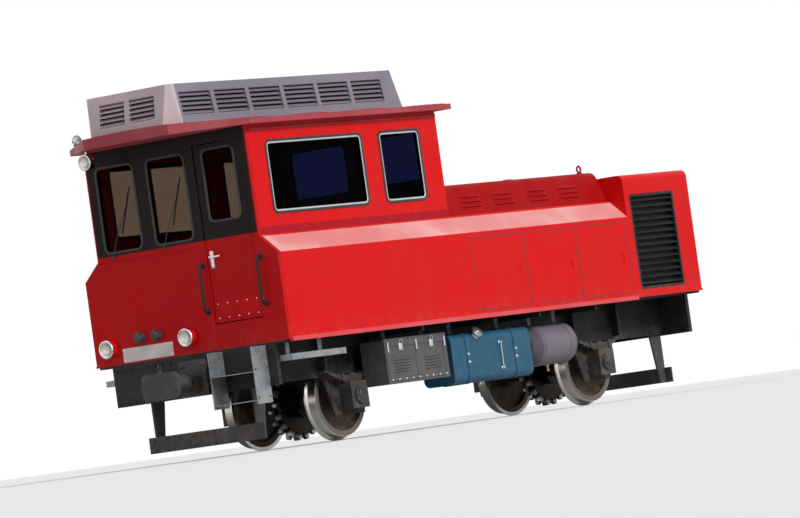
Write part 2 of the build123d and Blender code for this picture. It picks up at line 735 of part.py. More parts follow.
def fuel_tank():
    """The fuel tank with rounded long edges."""
    y0 = -EQUIPMENT_OUTER_Y
    y1 = y0 + EQUIPMENT_ROOM - TANK_PLATE_GAP
    solid = block(TANK_X, TANK_END_X, y0, y1, TANK_TOP_Z - TANK_HEIGHT, TANK_TOP_Z)
    solid = fillet(solid.edges().filter_by(Axis.X), TANK_CORNER)
    return solid + hangers(TANK_X, TANK_END_X, (y0 + y1) / 2, TANK_TOP_Z)


def air_reservoir():
    """An air reservoir with dished ends, turned about its long axis."""
    radius = RESERVOIR_RADIUS
    ball = (radius ** 2 + RESERVOIR_DOME ** 2) / (2 * RESERVOIR_DOME)
    half_angle = atan2(radius, ball - RESERVOIR_DOME) / 2
    dish = [(0.0, 0.0), (ball * (1 - cos(half_angle)), ball * sin(half_angle)), (RESERVOIR_DOME, radius)]
    outline = dish + [(RESERVOIR_LENGTH - x, y) for x, y in reversed(dish)]
    shell = revolve(Polygon(*outline, align=None), axis=Axis.X)
    y = -EQUIPMENT_OUTER_Y + radius
    solid = Pos(RESERVOIR_X, y, RESERVOIR_CENTRE_Z) * shell
    return solid + hangers(RESERVOIR_X, RESERVOIR_X + RESERVOIR_LENGTH, y, RESERVOIR_CENTRE_Z + radius)


def entrance_step():
    """Two treads between cheek plates below the front door."""
    middle = (DOOR_HINGE_Y + DOOR_FREE_Y) / 2
    x0 = FRONT_X - STEP_DEPTH
    y0 = middle - STEP_WIDTH / 2
    y1 = middle + STEP_WIDTH / 2
    solid = None
    for y in (y0, y1 - STEP_PLATE):
        cheek = block(x0, FRONT_X, y, y + STEP_PLATE, STEP_LOW_Z - STEP_CHEEK_DROP, DECK_BOTTOM)
        solid = cheek if solid is None else solid + cheek
    for tread in range(STEP_TREADS):
        level = STEP_LOW_Z + tread * STEP_RISE
        solid += block(x0, FRONT_X, y0, y1, level - STEP_PLATE, level)
    return solid


def side_step(side):
    """A tread below the body side, on two brackets under the deck."""
    x0 = FRONT_X + SIDE_STEP_FRONT
    x1 = x0 + SIDE_STEP_LENGTH
    y0 = PANEL_INNER_Y - SIDE_STEP_DEPTH
    solid = block(x0, x1, y0, PANEL_INNER_Y, SIDE_STEP_TOP_Z - SIDE_STEP_HEIGHT, SIDE_STEP_TOP_Z)
    solid += hangers(x0, x1, y0, SIDE_STEP_TOP_Z)
    return solid if side.sign > 0 else mirror_y(solid)


# Body

def shoulder_slope():
    """How far the shoulder's inner corners shift to keep the panel's thickness."""
    angle = atan2(SHOULDER_HIGH - SHOULDER_LOW, SHOULDER_INSET)
    in_shift = PANEL_THICKNESS * (1 - cos(angle)) / sin(angle)
    low_shift = PANEL_THICKNESS * (1 - sin(angle)) / cos(angle)
    return in_shift, low_shift


def inside_of_shoulder():
    """The (y, z) points of a side panel's inner face, from the deck up to the ledge."""
    in_shift, low_shift = shoulder_slope()
    return [
        (PANEL_INNER_Y, SHOULDER_LOW - low_shift),
        (UPPER_Y - in_shift, SHOULDER_HIGH - PANEL_THICKNESS),
        (LEDGE_INNER_Y, SHOULDER_HIGH - PANEL_THICKNESS),
    ]


def end_lip(x0, x1):
    """The lip along the foot of the body, carried on both sides of an end piece."""
    half = HALF_WIDTH + SIDE_LIP
    bar = block(x0, x1, -half, half, DECK_TOP, LIP_TOP)
    return bar - block(x0, x1, -HALF_WIDTH, HALF_WIDTH, DECK_TOP, LIP_TOP)


def body_side():
    """The left side panel with its foot lip, its sloped shoulder and the ledge for the upper walls."""
    lip_y = HALF_WIDTH + SIDE_LIP
    lip = [(lip_y, DECK_BOTTOM), (lip_y, LIP_TOP), (HALF_WIDTH, LIP_TOP)]
    outer = lip + [(HALF_WIDTH, SHOULDER_LOW), (UPPER_Y, SHOULDER_HIGH)]
    ledge = [(LEDGE_INNER_Y, SHOULDER_HIGH)]
    inner = list(reversed(inside_of_shoulder()))
    foot = [(PANEL_INNER_Y, DECK_BOTTOM)]
    left = [(-y, z) for y, z in outer + ledge + inner + foot]
    return section_along_x(left, CAB_INSIDE_X, RADIATOR_X)


def hood_shape(inset, corner):
    """The hood's outline shrunk by an inset, with its top edges rounded."""
    low_y = UPPER_Y - HOOD_INSET - inset
    top_y = HOOD_TOP_WIDTH / 2 - inset
    top_z = HOOD_TOP_Z - inset
    outline = [(-low_y, SHOULDER_HIGH), (-top_y, top_z), (top_y, top_z), (low_y, SHOULDER_HIGH)]
    solid = section_along_x(outline, CAB_REAR_X, RADIATOR_X)
    return fillet(top_edges(solid, Axis.X, top_z), corner)


def hood():
    """The upper hood over the engine, open below."""
    return hood_shape(0.0, HOOD_CORNER) - hood_shape(HOOD_WALL, HOOD_CORNER - HOOD_WALL)


def fan_middle():
    """The x of the fan's shaft, in the middle of the radiator end."""
    return (RADIATOR_X + REAR_X) / 2


def radiator_housing():
    """The full-width radiator end with side windows for the grilles and a round fan duct."""
    wall = PANEL_THICKNESS
    shell = block(RADIATOR_X, REAR_X, -HALF_WIDTH, HALF_WIDTH, DECK_TOP, RADIATOR_TOP_Z)
    shell = fillet(top_edges(shell, Axis.X, RADIATOR_TOP_Z), RADIATOR_CORNER)
    inside_top = RADIATOR_TOP_Z - wall
    room_x = REAR_X - wall
    solid = shell - block(RADIATOR_X + wall, room_x, -PANEL_INNER_Y, PANEL_INNER_Y, DECK_TOP, inside_top)
    x0 = RADIATOR_X + GRILLE_FRONT_MARGIN
    grille_top = GRILLE_BOTTOM_Z + GRILLE_HEIGHT
    solid -= block(x0, x0 + GRILLE_WIDTH, -HALF_WIDTH, HALF_WIDTH, GRILLE_BOTTOM_Z, grille_top)
    duct_middle = (DUCT_LOW_Z + RADIATOR_TOP_Z) / 2
    solid += cylinder("z", (fan_middle(), 0, duct_middle), FAN_RADIUS + FAN_DUCT_WALL, FAN_DUCT_DEPTH)
    solid -= cylinder("z", (fan_middle(), 0, duct_middle), FAN_RADIUS, 2 * FAN_DUCT_DEPTH)
    return solid + end_lip(RADIATOR_X, REAR_X)


def fan_carrier():
    """Cross arms below the fan duct that carry the fan's bearing."""
    middle = Pos(fan_middle(), 0, DUCT_LOW_Z - CARRIER_ARM / 2)
    solid = middle * Cylinder(CARRIER_HUB_RADIUS, CARRIER_ARM)
    for turn in (0, 90):
        solid += middle * Rot(0, 0, turn) * Box(2 * (FAN_RADIUS + FAN_DUCT_WALL), CARRIER_ARM, CARRIER_ARM)
    return solid - middle * Cylinder(FAN_SHAFT_RADIUS + JOURNAL_PLAY, 2 * CARRIER_ARM)


def radiator_fan():
    """The cooling fan with pitched blades round its hub and a shaft down to the bearing."""
    hub_z = DUCT_LOW_Z + FAN_FLOOR_CLEARANCE + FAN_HUB_HEIGHT / 2
    solid = Cylinder(FAN_HUB_RADIUS, FAN_HUB_HEIGHT)
    blade_start = FAN_HUB_RADIUS - FAN_BLADE_ROOT
    blade_length = FAN_RADIUS - FAN_TIP_CLEARANCE - blade_start
    vane = Box(blade_length, FAN_BLADE_WIDTH, FAN_BLADE_THICKNESS)
    for blade in range(FAN_BLADES):
        turn = Rot(0, 0, blade * 360.0 / FAN_BLADES)
        solid += turn * Pos(blade_start + blade_length / 2, 0, 0) * Rot(FAN_BLADE_PITCH, 0, 0) * vane
    shaft_low = DUCT_LOW_Z - CARRIER_ARM - hub_z
    solid += cylinder("z", (0, 0, shaft_low / 2), FAN_SHAFT_RADIUS, -shaft_low)
    return Pos(fan_middle(), 0, hub_z) * solid


def fan_guard():
    """Flat rings on crossed bars over the fan opening."""
    middle = Pos(fan_middle(), 0, RADIATOR_TOP_Z + GUARD_WIRE / 2)
    rim = FAN_RADIUS + GUARD_RING_WIDTH
    bore = FAN_RADIUS - GUARD_RING_WIDTH / 2
    solid = middle * (Cylinder(rim, GUARD_WIRE) - Cylinder(bore, 2 * GUARD_WIRE))
    for ring in range(1, GUARD_RINGS):
        radius = FAN_RADIUS - ring * GUARD_RING_STEP
        solid += middle * (Cylinder(radius, GUARD_WIRE) - Cylinder(radius - GUARD_WIRE, 2 * GUARD_WIRE))
    for turn in (0, 90):
        solid += middle * Rot(0, 0, turn) * Box(2 * FAN_RADIUS, GUARD_WIRE, GUARD_WIRE)
    return solid


def radiator_grille():
    """The left louvred grille: a frame with tilted slats."""
    x0 = RADIATOR_X + GRILLE_FRONT_MARGIN
    x1 = x0 + GRILLE_WIDTH
    z0 = GRILLE_BOTTOM_Z
    z1 = z0 + GRILLE_HEIGHT
    y0 = -HALF_WIDTH
    y1 = y0 + GRILLE_DEPTH
    rim = GRILLE_FRAME
    solid = block(x0, x1, y0, y1, z0, z1) - block(x0 + rim, x1 - rim, y0, y1, z0 + rim, z1 - rim)
    step = (GRILLE_HEIGHT - 2 * rim) / LOUVRE_COUNT
    slat_depth = (GRILLE_DEPTH - LOUVRE_THICKNESS) / cos(radians(LOUVRE_TILT))
    slat = Rot(LOUVRE_TILT, 0, 0) * Box(GRILLE_WIDTH - rim, slat_depth, LOUVRE_THICKNESS)
    for number in range(LOUVRE_COUNT):
        z = z0 + rim + (number + 0.5) * step
        solid += Pos((x0 + x1) / 2, (y0 + y1) / 2, z) * slat
    return solid


def radiator_core():
    """The left radiator core behind its grille, standing on the deck."""
    x0 = RADIATOR_X + GRILLE_FRONT_MARGIN
    y0 = -PANEL_INNER_Y + CORE_GAP
    return block(x0, x0 + GRILLE_WIDTH, y0, y0 + CORE_DEPTH, DECK_TOP, GRILLE_BOTTOM_Z + GRILLE_HEIGHT)


def engine_block():
    """The engine as a plain block in the middle of the hood."""
    middle = (CAB_REAR_X + RADIATOR_X) / 2
    half = ENGINE_WIDTH / 2
    x0 = middle - ENGINE_LENGTH / 2
    solid = block(x0, x0 + ENGINE_LENGTH, -half, half, DECK_TOP, DECK_TOP + ENGINE_HEIGHT)
    return chamfer(solid.edges().filter_by(Axis.X), ENGINE_CHAMFER)


# Cab

def cab_front_wall():
    """The front wall with its windscreen openings, the door opening and the hinge pins."""
    half = [
        (HALF_WIDTH, DECK_TOP),
        (HALF_WIDTH, SHOULDER_LOW),
        (UPPER_Y, SHOULDER_HIGH),
        (UPPER_Y, ROOF_EDGE_Z),
    ]
    outline = half + [(-y, z) for y, z in reversed(half)]
    solid = section_along_x(outline, FRONT_X, CAB_INSIDE_X) + end_lip(FRONT_X, CAB_INSIDE_X)
    solid = cut_windows(solid, "x", FRONT_X, CAB_INSIDE_X, WINDSCREENS)
    door_y0 = DOOR_HINGE_Y - DOOR_GAP
    door_y1 = DOOR_FREE_Y + DOOR_GAP
    solid -= block(FRONT_X, CAB_INSIDE_X, door_y0, door_y1, CAB_FLOOR_TOP, DOOR_TOP_Z + DOOR_GAP)
    lug_shift = HINGE_LENGTH / 2 + HINGE_LUG_GAP + HINGE_LUG / 2
    lug_y = DOOR_HINGE_Y - HINGE_LUG_REACH
    pin_length = 2 * lug_shift + HINGE_LUG
    for z in hinge_heights():
        for way in (-1, 1):
            lug_z = z + way * lug_shift
            lug_low = lug_z - HINGE_LUG / 2
            solid += block(CAB_INSIDE_X, HINGE_X, lug_y, DOOR_HINGE_Y, lug_low, lug_low + HINGE_LUG)
            solid += cylinder("z", (HINGE_X, DOOR_HINGE_Y, lug_z), HINGE_BARREL_RADIUS, HINGE_LUG)
        solid += cylinder("z", (HINGE_X, DOOR_HINGE_Y, z), HINGE_PIN_RADIUS, pin_length)
    return solid


def hinge_heights():
    """The middle heights of the door's three hinges."""
    low = DOOR_LOW_Z + HINGE_END_MARGIN
    high = DOOR_TOP_Z - HINGE_END_MARGIN
    return (low, (low + high) / 2, high)


def cab_door():
    """The front door leaf with its window opening and hinge barrels."""
    x0 = CAB_INSIDE_X - DOOR_THICKNESS
    solid = block(x0, CAB_INSIDE_X, DOOR_HINGE_Y, DOOR_FREE_Y, DOOR_LOW_Z, DOOR_TOP_Z)
    solid = cut_windows(solid, "x", x0, CAB_INSIDE_X, DOOR_WINDOWS)
    for z in hinge_heights():
        z0 = z - HINGE_LENGTH / 2
        z1 = z + HINGE_LENGTH / 2
        leaf_y = DOOR_HINGE_Y + HINGE_LEAF
        barrel = cylinder("z", (HINGE_X, DOOR_HINGE_Y, z), HINGE_BARREL_RADIUS, HINGE_LENGTH)
        leaf_x = CAB_INSIDE_X + HINGE_LEAF_THICKNESS
        barrel += block(CAB_INSIDE_X, leaf_x, DOOR_HINGE_Y, leaf_y, z0, z1)
        hole = HINGE_PIN_RADIUS + HINGE_PLAY
        barrel -= cylinder("z", (HINGE_X, DOOR_HINGE_Y, z), hole, 2 * HINGE_LENGTH)
        solid += barrel
    return solid


def grab_rail(y):
    """An upright rod that stands off the front wall on a foot at each end."""
    x = FRONT_X - GRAB_RAIL_STAND_OFF
    middle = (GRAB_RAIL_LOW_Z + GRAB_RAIL_HIGH_Z) / 2
    length = GRAB_RAIL_HIGH_Z - GRAB_RAIL_LOW_Z + 2 * GRAB_RAIL_RADIUS
    solid = cylinder("z", (x, y, middle), GRAB_RAIL_RADIUS, length)
    for z in (GRAB_RAIL_LOW_Z, GRAB_RAIL_HIGH_Z):
        solid += cylinder("x", ((x + FRONT_X) / 2, y, z), GRAB_RAIL_FOOT_RADIUS, GRAB_RAIL_STAND_OFF)
    return solid


def grab_rails():
    """The rails on both sides of the front door."""
    places = (DOOR_HINGE_Y - GRAB_RAIL_OFFSET, DOOR_FREE_Y + GRAB_RAIL_OFFSET)
    return Compound([grab_rail(y) for y in places])


def cab_side():
    """The left upper side wall with its two windows, standing on the shoulder's ledge."""
    solid = block(CAB_INSIDE_X, CAB_REAR_X, -UPPER_Y, -UPPER_INNER_Y, SHOULDER_HIGH, ROOF_EDGE_Z)
    return cut_windows(solid, "y", -UPPER_Y, -UPPER_INNER_Y, SIDE_WINDOWS)


def cab_rear_wall():
    """The rear wall between the sides, from the deck to the roof."""
    upper = [(LEDGE_INNER_Y, SHOULDER_HIGH), (UPPER_INNER_Y, SHOULDER_HIGH), (UPPER_INNER_Y, ROOF_EDGE_Z)]
    half = [(PANEL_INNER_Y, DECK_TOP)] + inside_of_shoulder() + upper
    outline = half + [(-y, z) for y, z in reversed(half)]
    x0 = CAB_REAR_X - CAB_WALL
    solid = section_along_x(outline, x0, CAB_REAR_X)
    return cut_windows(solid, "x", x0, CAB_REAR_X, REAR_WINDOWS)


def cab_floor():
    """The raised cab floor on bearers that stand on the deck."""
    x0 = CAB_INSIDE_X
    x1 = CAB_REAR_X - CAB_WALL
    underside = CAB_FLOOR_TOP - CAB_FLOOR_THICKNESS
    solid = block(x0, x1, -PANEL_INNER_Y, PANEL_INNER_Y, underside, CAB_FLOOR_TOP)
    spacing = (2 * PANEL_INNER_Y - FLOOR_BEARER) / (FLOOR_BEARERS - 1)
    for number in range(FLOOR_BEARERS):
        y = -PANEL_INNER_Y + number * spacing
        solid += block(x0, x1, y, y + FLOOR_BEARER, DECK_TOP, underside)
    return solid


def roof_plan():
    """The roof's outline from above, narrowed towards the front tip."""
    half = [
        (ROOF_TIP_X, ROOF_TIP_WIDTH / 2),
        (FRONT_X - ROOF_CORNER_LEAD, ROOF_HALF),
        (ROOF_REAR_X, ROOF_HALF),
    ]
    return half + [(x, -y) for x, y in reversed(half)]


def cab_roof():
    """The arched roof sheet, flat underneath where it rests on the walls."""
    crown = ROOF_TOP_Z + ROOF_CROWN_RISE
    with BuildPart() as arch:
        with BuildSketch(Plane(origin=(ROOF_TIP_X, 0, 0), x_dir=(0, 1, 0), z_dir=(1, 0, 0))):
            with BuildLine():
                Polyline((ROOF_HALF, ROOF_TOP_Z), (ROOF_HALF, ROOF_EDGE_Z), (-ROOF_HALF, ROOF_EDGE_Z),
                         (-ROOF_HALF, ROOF_TOP_Z))
                ThreePointArc((-ROOF_HALF, ROOF_TOP_Z), (0, crown), (ROOF_HALF, ROOF_TOP_Z))
            make_face()
        extrude(amount=ROOF_REAR_X - ROOF_TIP_X)
    return arch.part & section_along_z(roof_plan(), ROOF_EDGE_Z, crown)


def slatted_space(width):
    """The air space between a bay's slats, about its middle, with the outside towards -Y."""
    step = POD_BAY_HEIGHT / POD_SLATS
    slat_depth = (POD_BAY_DEPTH - POD_SLAT_THICKNESS) / cos(radians(POD_SLAT_TILT))
    slat = Rot(POD_SLAT_TILT, 0, 0) * Box(width, slat_depth, POD_SLAT_THICKNESS)
    slats = []
    for number in range(POD_SLATS):
        z = (number + 0.5) * step - POD_BAY_HEIGHT / 2
        slats.append(Pos(0, POD_BAY_DEPTH / 2, z) * slat)
    return Box(width, 2 * POD_BAY_DEPTH, POD_BAY_HEIGHT) - slats


def bay_row(length, count):
    """The width of each bay in a row and the middles of the bays, from the row's start."""
    width = (length - (count - 1) * POD_POST) / count
    return width, [width / 2 + number * (width + POD_POST) for number in range(count)]


def pod_shell(x0, x1):
    """The housing's outer form: leaning sides and ends, and two cut corners in front."""
    low = ROOF_EDGE_Z
    seat = ROOF_TOP_Z
    top = seat + POD_HEIGHT
    half = POD_WIDTH / 2
    right = [(half, low), (half, seat), (POD_TOP_WIDTH / 2, top)]
    across = right + [(-y, z) for y, z in reversed(right)]
    along = [
        (x0, low),
        (x1, low),
        (x1, seat),
        (x1 - POD_REAR_LEAN, top),
        (x0 + POD_FRONT_LEAN, top),
        (x0, seat),
    ]
    plan = [(x0, half - POD_CORNER), (x0 + POD_CORNER, half), (x1, half)]
    plan += [(x, -y) for x, y in reversed(plan)]
    solid = section_along_x(across, x0, x1) & section_along_y(along, -half, half)
    return solid & section_along_z(plan, low, top)


def roof_housing():
    """The grey equipment housing on the roof, with slatted bays in its sides and front."""
    x0 = ROOF_TIP_X + POD_FRONT_INSET
    x1 = ROOF_REAR_X - POD_REAR_INSET
    z = ROOF_TOP_Z + POD_BAY_Z
    rise = POD_BAY_Z / POD_HEIGHT
    side_run = (POD_WIDTH - POD_TOP_WIDTH) / 2
    side_lean = degrees(atan2(side_run, POD_HEIGHT))
    front_lean = degrees(atan2(POD_FRONT_LEAN, POD_HEIGHT))
    spaces = []
    length = x1 - POD_REAR_LEAN - x0 - 2 * POD_SIDE_MARGIN
    width, middles = bay_row(length, POD_SIDE_BAYS)
    space = Rot(-side_lean, 0, 0) * slatted_space(width)
    for side in SIDES:
        y = side.sign * (POD_WIDTH / 2 - side_run * rise)
        facing = Rot(0, 0, 0 if side.sign < 0 else 180)
        spaces += [Pos(x0 + POD_SIDE_MARGIN + x, y, z) * facing * space for x in middles]
    width, middles = bay_row(POD_WIDTH - 2 * POD_FRONT_MARGIN, POD_FRONT_BAYS)
    space = Rot(0, 0, -90) * Rot(-front_lean, 0, 0) * slatted_space(width)
    front_x = x0 + POD_FRONT_LEAN * rise
    spaces += [Pos(front_x, POD_FRONT_MARGIN - POD_WIDTH / 2 + y, z) * space for y in middles]
    return pod_shell(x0, x1) - spaces - cab_roof()


def desk_middle():
    """The y of the desk's middle, to the right of the door."""
    return UPPER_INNER_Y - DESK_SIDE_GAP - DESK_WIDTH / 2


def driver_desk():
    """The driver's desk against the front wall."""
    x1 = CAB_INSIDE_X + DESK_DEPTH
    y = desk_middle()
    top = CAB_FLOOR_TOP + DESK_HEIGHT
    solid = block(CAB_INSIDE_X, x1, y - DESK_WIDTH / 2, y + DESK_WIDTH / 2, CAB_FLOOR_TOP, top)
    inner = [edge for edge in top_edges(solid, Axis.Y, top) if abs(edge.center().X - x1) < SAME_PLACE]
    return chamfer(inner, DESK_SLOPE)


def driver_seat():
    """The driver's seat on its pedestal."""
    x = CAB_INSIDE_X + DESK_DEPTH + SEAT_BEHIND_DESK + SEAT_DEPTH / 2
    y = desk_middle()
    top = CAB_FLOOR_TOP + SEAT_TOP_ABOVE_FLOOR
    underside = top - SEAT_CUSHION
    x_back = x + SEAT_DEPTH / 2
    y0 = y - SEAT_WIDTH / 2
    y1 = y + SEAT_WIDTH / 2
    solid = block(x - SEAT_DEPTH / 2, x_back, y0, y1, underside, top)
    solid += block(x_back - SEAT_BACK, x_back, y0, y1, top, top + SEAT_BACK_HEIGHT)
    solid = fillet(solid.edges().filter_by(Axis.X), SEAT_CORNER)
    pillar_middle = (CAB_FLOOR_TOP + underside) / 2
    solid += cylinder("z", (x, y, pillar_middle), SEAT_PILLAR_RADIUS, underside - CAB_FLOOR_TOP)
    foot_middle = CAB_FLOOR_TOP + SEAT_FOOT_HEIGHT / 2
    solid += cylinder("z", (x, y, foot_middle), SEAT_FOOT_RADIUS, SEAT_FOOT_HEIGHT)
    return solid


# Lamps

def lamp(x, y, z, way, radius):
    """A round lamp housing with a recess for its glass, on a wall at x and facing along x."""
    housing = cylinder("x", (x + way * LAMP_DEPTH / 2, y, z), radius, LAMP_DEPTH)
    recess = cylinder("x", (x + way * LAMP_DEPTH, y, z), radius - LAMP_RIM, 2 * LAMP_RECESS)
    return housing - recess


def headlamps_front():
    """Two low headlamps on the front wall, beside the door and near the right edge."""
    places = (DOOR_FREE_Y + LAMP_DOOR_GAP, HALF_WIDTH - LAMP_EDGE_MARGIN)
    return Compound([lamp(FRONT_X, y, LAMP_FRONT_Z, -1, LAMP_RADIUS) for y in places])


def headlamps_rear():
    """Two low headlamps on the rear wall of the radiator end."""
    y = HALF_WIDTH - LAMP_SIDE_MARGIN
    return Compound([lamp(REAR_X, side.sign * y, LAMP_REAR_Z, 1, LAMP_RADIUS) for side in SIDES])


def headlamp_top():
    """The top headlamp, hung by a stem under the roof in front of the windscreens."""
    x = FRONT_X - TOP_LAMP_OUT
    y = UPPER_Y - TOP_LAMP_SIDE_MARGIN
    z = ROOF_EDGE_Z - TOP_LAMP_DROP - TOP_LAMP_RADIUS
    stem_x = x - LAMP_DEPTH / 2 + LAMP_RECESS
    half = LAMP_STEM / 2
    stem = block(stem_x - half, stem_x + half, y - half, y + half, z, ROOF_EDGE_Z)
    return lamp(x, y, z, -1, TOP_LAMP_RADIUS) + stem


def air_horn():
    """A horn on the roof's right front corner: a bell, a tube and a sound chamber on a foot."""
    mouth_x = FRONT_X - ROOF_CORNER_LEAD
    bell_x = mouth_x + HORN_BELL_LENGTH
    chamber_x = mouth_x + HORN_LENGTH
    end_x = chamber_x + HORN_FOOT
    y = ROOF_HALF - HORN_SIDE_MARGIN
    z = ROOF_TOP_Z + HORN_RISE
    bell = Cone(HORN_THROAT, HORN_MOUTH, HORN_BELL_LENGTH)
    trumpet = Pos((mouth_x + bell_x) / 2, y, z) * Rot(0, -90, 0) * bell
    trumpet -= cylinder("x", (mouth_x, y, z), HORN_MOUTH / 2, HORN_BELL_DEPTH)
    trumpet += cylinder("x", ((bell_x + chamber_x) / 2, y, z), HORN_THROAT, chamber_x - bell_x)
    trumpet += cylinder("x", ((chamber_x + end_x) / 2, y, z), 2 * HORN_THROAT, HORN_FOOT)
    low = ROOF_EDGE_Z + ROOF_THICKNESS / 2
    foot = block(chamber_x, end_x, y - HORN_THROAT, y + HORN_THROAT, low, z)
    return trumpet + (foot - cab_roof())


def build():
    """Every node by name. Like pieces of one body share a node where they don't touch."""
    nodes = {"deck": deck()}
    for axle in AXLES:
        nodes["wheelset_" + axle.name] = wheelset(axle)
        nodes["rack_pinion_" + axle.name] = rack_pinion(axle)
        nodes["axle_boxes_" + axle.name] = Compound([axle_box(axle, side) for side in SIDES])
        nodes["leaf_springs_" + axle.name] = Compound([leaf_spring(axle, side) for side in SIDES])
    for end in ENDS:
        nodes["centre_buffer_" + end.name] = centre_buffer(end)
        nodes["rail_guard_" + end.name] = rail_guard(end)
    nodes["end_beams"] = Compound([end_beam(end) for end in ENDS])
    nodes["battery_box"] = battery_box()
    nodes["fuel_tank"] = fuel_tank()
    nodes["air_reservoir"] = air_reservoir()
    nodes["entrance_step"] = entrance_step()
    nodes["side_steps"] = Compound([side_step(side) for side in SIDES])
    left_pieces = {
        "frame_plate": frame_plate(),
        "body_side": body_side(),
        "cab_side": cab_side(),
        "radiator_grille": radiator_grille(),
    }
    for name, solid in left_pieces.items():
        nodes[name + "_left"] = solid
        nodes[name + "_right"] = mirror_y(solid)
    nodes["radiator_cores"] = Compound([radiator_core(), mirror_y(radiator_core())])
    nodes["hood"] = hood()
    nodes["radiator_housing"] = radiator_housing()
    nodes["fan_carrier"] = fan_carrier()
    nodes["radiator_fan"] = radiator_fan()
    nodes["fan_guard"] = fan_guard()
    nodes["engine_block"] = engine_block()
    nodes["cab_front_wall"] = cab_front_wall()
    nodes["cab_rear_wall"] = cab_rear_wall()
    nodes["cab_floor"] = cab_floor()
    nodes["cab_roof"] = cab_roof()
    nodes["roof_housing"] = roof_housing()
    nodes["cab_door"] = cab_door()
    nodes["grab_rails"] = grab_rails()
    nodes["driver_desk"] = driver_desk()
    nodes["driver_seat"] = driver_seat()
    nodes["cab_glass"] = cab_glass()
    nodes["door_glass"] = Compound(panes("x", CAB_INSIDE_X - DOOR_THICKNESS / 2, DOOR_WINDOWS))
    nodes["headlamps_front"] = headlamps_front()
    nodes["headlamp_top"] = headlamp_top()
    nodes["headlamps_rear"] = headlamps_rear()
    nodes["air_horn"] = air_horn()
    return nodes


os.makedirs("parts", exist_ok=True)
for node_name, node in build().items():
    export_step(node, "parts/" + node_name + ".step")
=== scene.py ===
"""Looks of a two-axle rack railway locomotive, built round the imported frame.

Units are metres, and millimetres where a docstring says so. The cab end points to -X, the
locomotive's left side to -Y and Z is up.
"""

import logging
from dataclasses import dataclass, field, replace
from enum import Enum
from typing import ClassVar

import bpy
import numpy as np
from mathutils import Matrix, Vector


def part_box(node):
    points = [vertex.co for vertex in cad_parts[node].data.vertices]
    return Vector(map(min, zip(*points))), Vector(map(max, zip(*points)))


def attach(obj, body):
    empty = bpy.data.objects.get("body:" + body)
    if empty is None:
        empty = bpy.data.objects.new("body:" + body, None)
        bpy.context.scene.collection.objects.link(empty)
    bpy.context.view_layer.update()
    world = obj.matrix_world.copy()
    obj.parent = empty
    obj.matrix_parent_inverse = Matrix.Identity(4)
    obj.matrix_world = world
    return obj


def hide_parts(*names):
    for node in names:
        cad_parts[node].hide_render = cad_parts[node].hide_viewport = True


log = logging.getLogger("locomotive")
Array = np.ndarray
Socket = bpy.types.NodeSocket
Point = tuple[float, float, float]
Places = Array | list[Point] | Point

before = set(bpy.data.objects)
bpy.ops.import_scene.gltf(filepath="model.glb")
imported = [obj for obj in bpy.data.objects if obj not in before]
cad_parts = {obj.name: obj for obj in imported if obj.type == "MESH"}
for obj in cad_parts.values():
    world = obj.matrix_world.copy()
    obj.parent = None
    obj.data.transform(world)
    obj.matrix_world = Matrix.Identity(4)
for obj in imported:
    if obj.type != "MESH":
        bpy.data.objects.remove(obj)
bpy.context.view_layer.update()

FORE, LEFT, UP, DOWN = (-1, 0, 0), (0, -1, 0), (0, 0, 1), (0, 0, -1)
ALONG_X, ALONG_Y = (1, 0, 0), (0, 1, 0)
SIDES = {"left": -1, "right": 1}
ENDS = ("front", "rear")


# Shapes worked out as whole arrays

@dataclass
class Shell:
    """A closed surface: its points, and its faces as tuples of point numbers."""

    points: Array
    faces: list[tuple[int, ...]]

    def placed(self, turn: Array, shift: Places) -> "Shell":
        """Turn the points by a matrix, with the new axes as its columns, and shift them."""
        return Shell(self.points @ np.asarray(turn, float).T + np.asarray(shift, float), self.faces)

    def shifted(self, *shift: float) -> "Shell":
        """Shift every point along x, y and z."""
        return Shell(self.points + np.array(shift), self.faces)


def joined(shells: list[Shell]) -> Shell:
    """Put several shells into one.

    Args:
        shells: The shells to join.

    Returns:
        One shell that holds all the points and faces.
    """
    faces: list[tuple[int, ...]] = []
    start = 0
    for shell in shells:
        faces += [tuple(number + start for number in face) for face in shell.faces]
        start += len(shell.points)
    return Shell(np.concatenate([shell.points for shell in shells]), faces)


def lattice(grid: Array, wrap_rows: bool = False) -> Shell:
    """Join a grid of points into quads: point (i, j) meets (i + 1, j), (i + 1, j + 1) and (i, j + 1).

    Args:
        grid: Points as an array of rows, columns and three numbers. The last column meets the first.
        wrap_rows: The last row meets the first too. Without it both are closed with one face each.

    Returns:
        The shell. Its faces point outwards where the columns turn left about the rows' way.
    """
    rows, columns = grid.shape[:2]
    i = np.arange(rows if wrap_rows else rows - 1)[:, None]
    j = np.arange(columns)[None, :]
    i2, j2 = (i + 1) % rows, (j + 1) % columns
    quads = np.stack([i * columns + j, i * columns + j2, i2 * columns + j2, i2 * columns + j], -1)
    faces = [tuple(face) for face in quads.reshape(-1, 4).tolist()]
    if not wrap_rows:
        faces.append(tuple(range(columns - 1, -1, -1)))
        faces.append(tuple(range((rows - 1) * columns, rows * columns)))
    return Shell(grid.reshape(-1, 3), faces)


def circle(radius: float, steps: int) -> Array:
    """Flat points on a circle, turning left: radius (cos t, sin t)."""
    angle = np.linspace(0, 2 * np.pi, steps, endpoint=False)
    return radius * np.stack([np.cos(angle), np.sin(angle)], -1)


def hoop(radius: float, axis: int, steps: int = 64) -> Array:
    """Points in space on a circle about X, Y or Z, which are the axes 0, 1 and 2."""
    return np.insert(circle(radius, steps), axis, 0.0, axis=1)


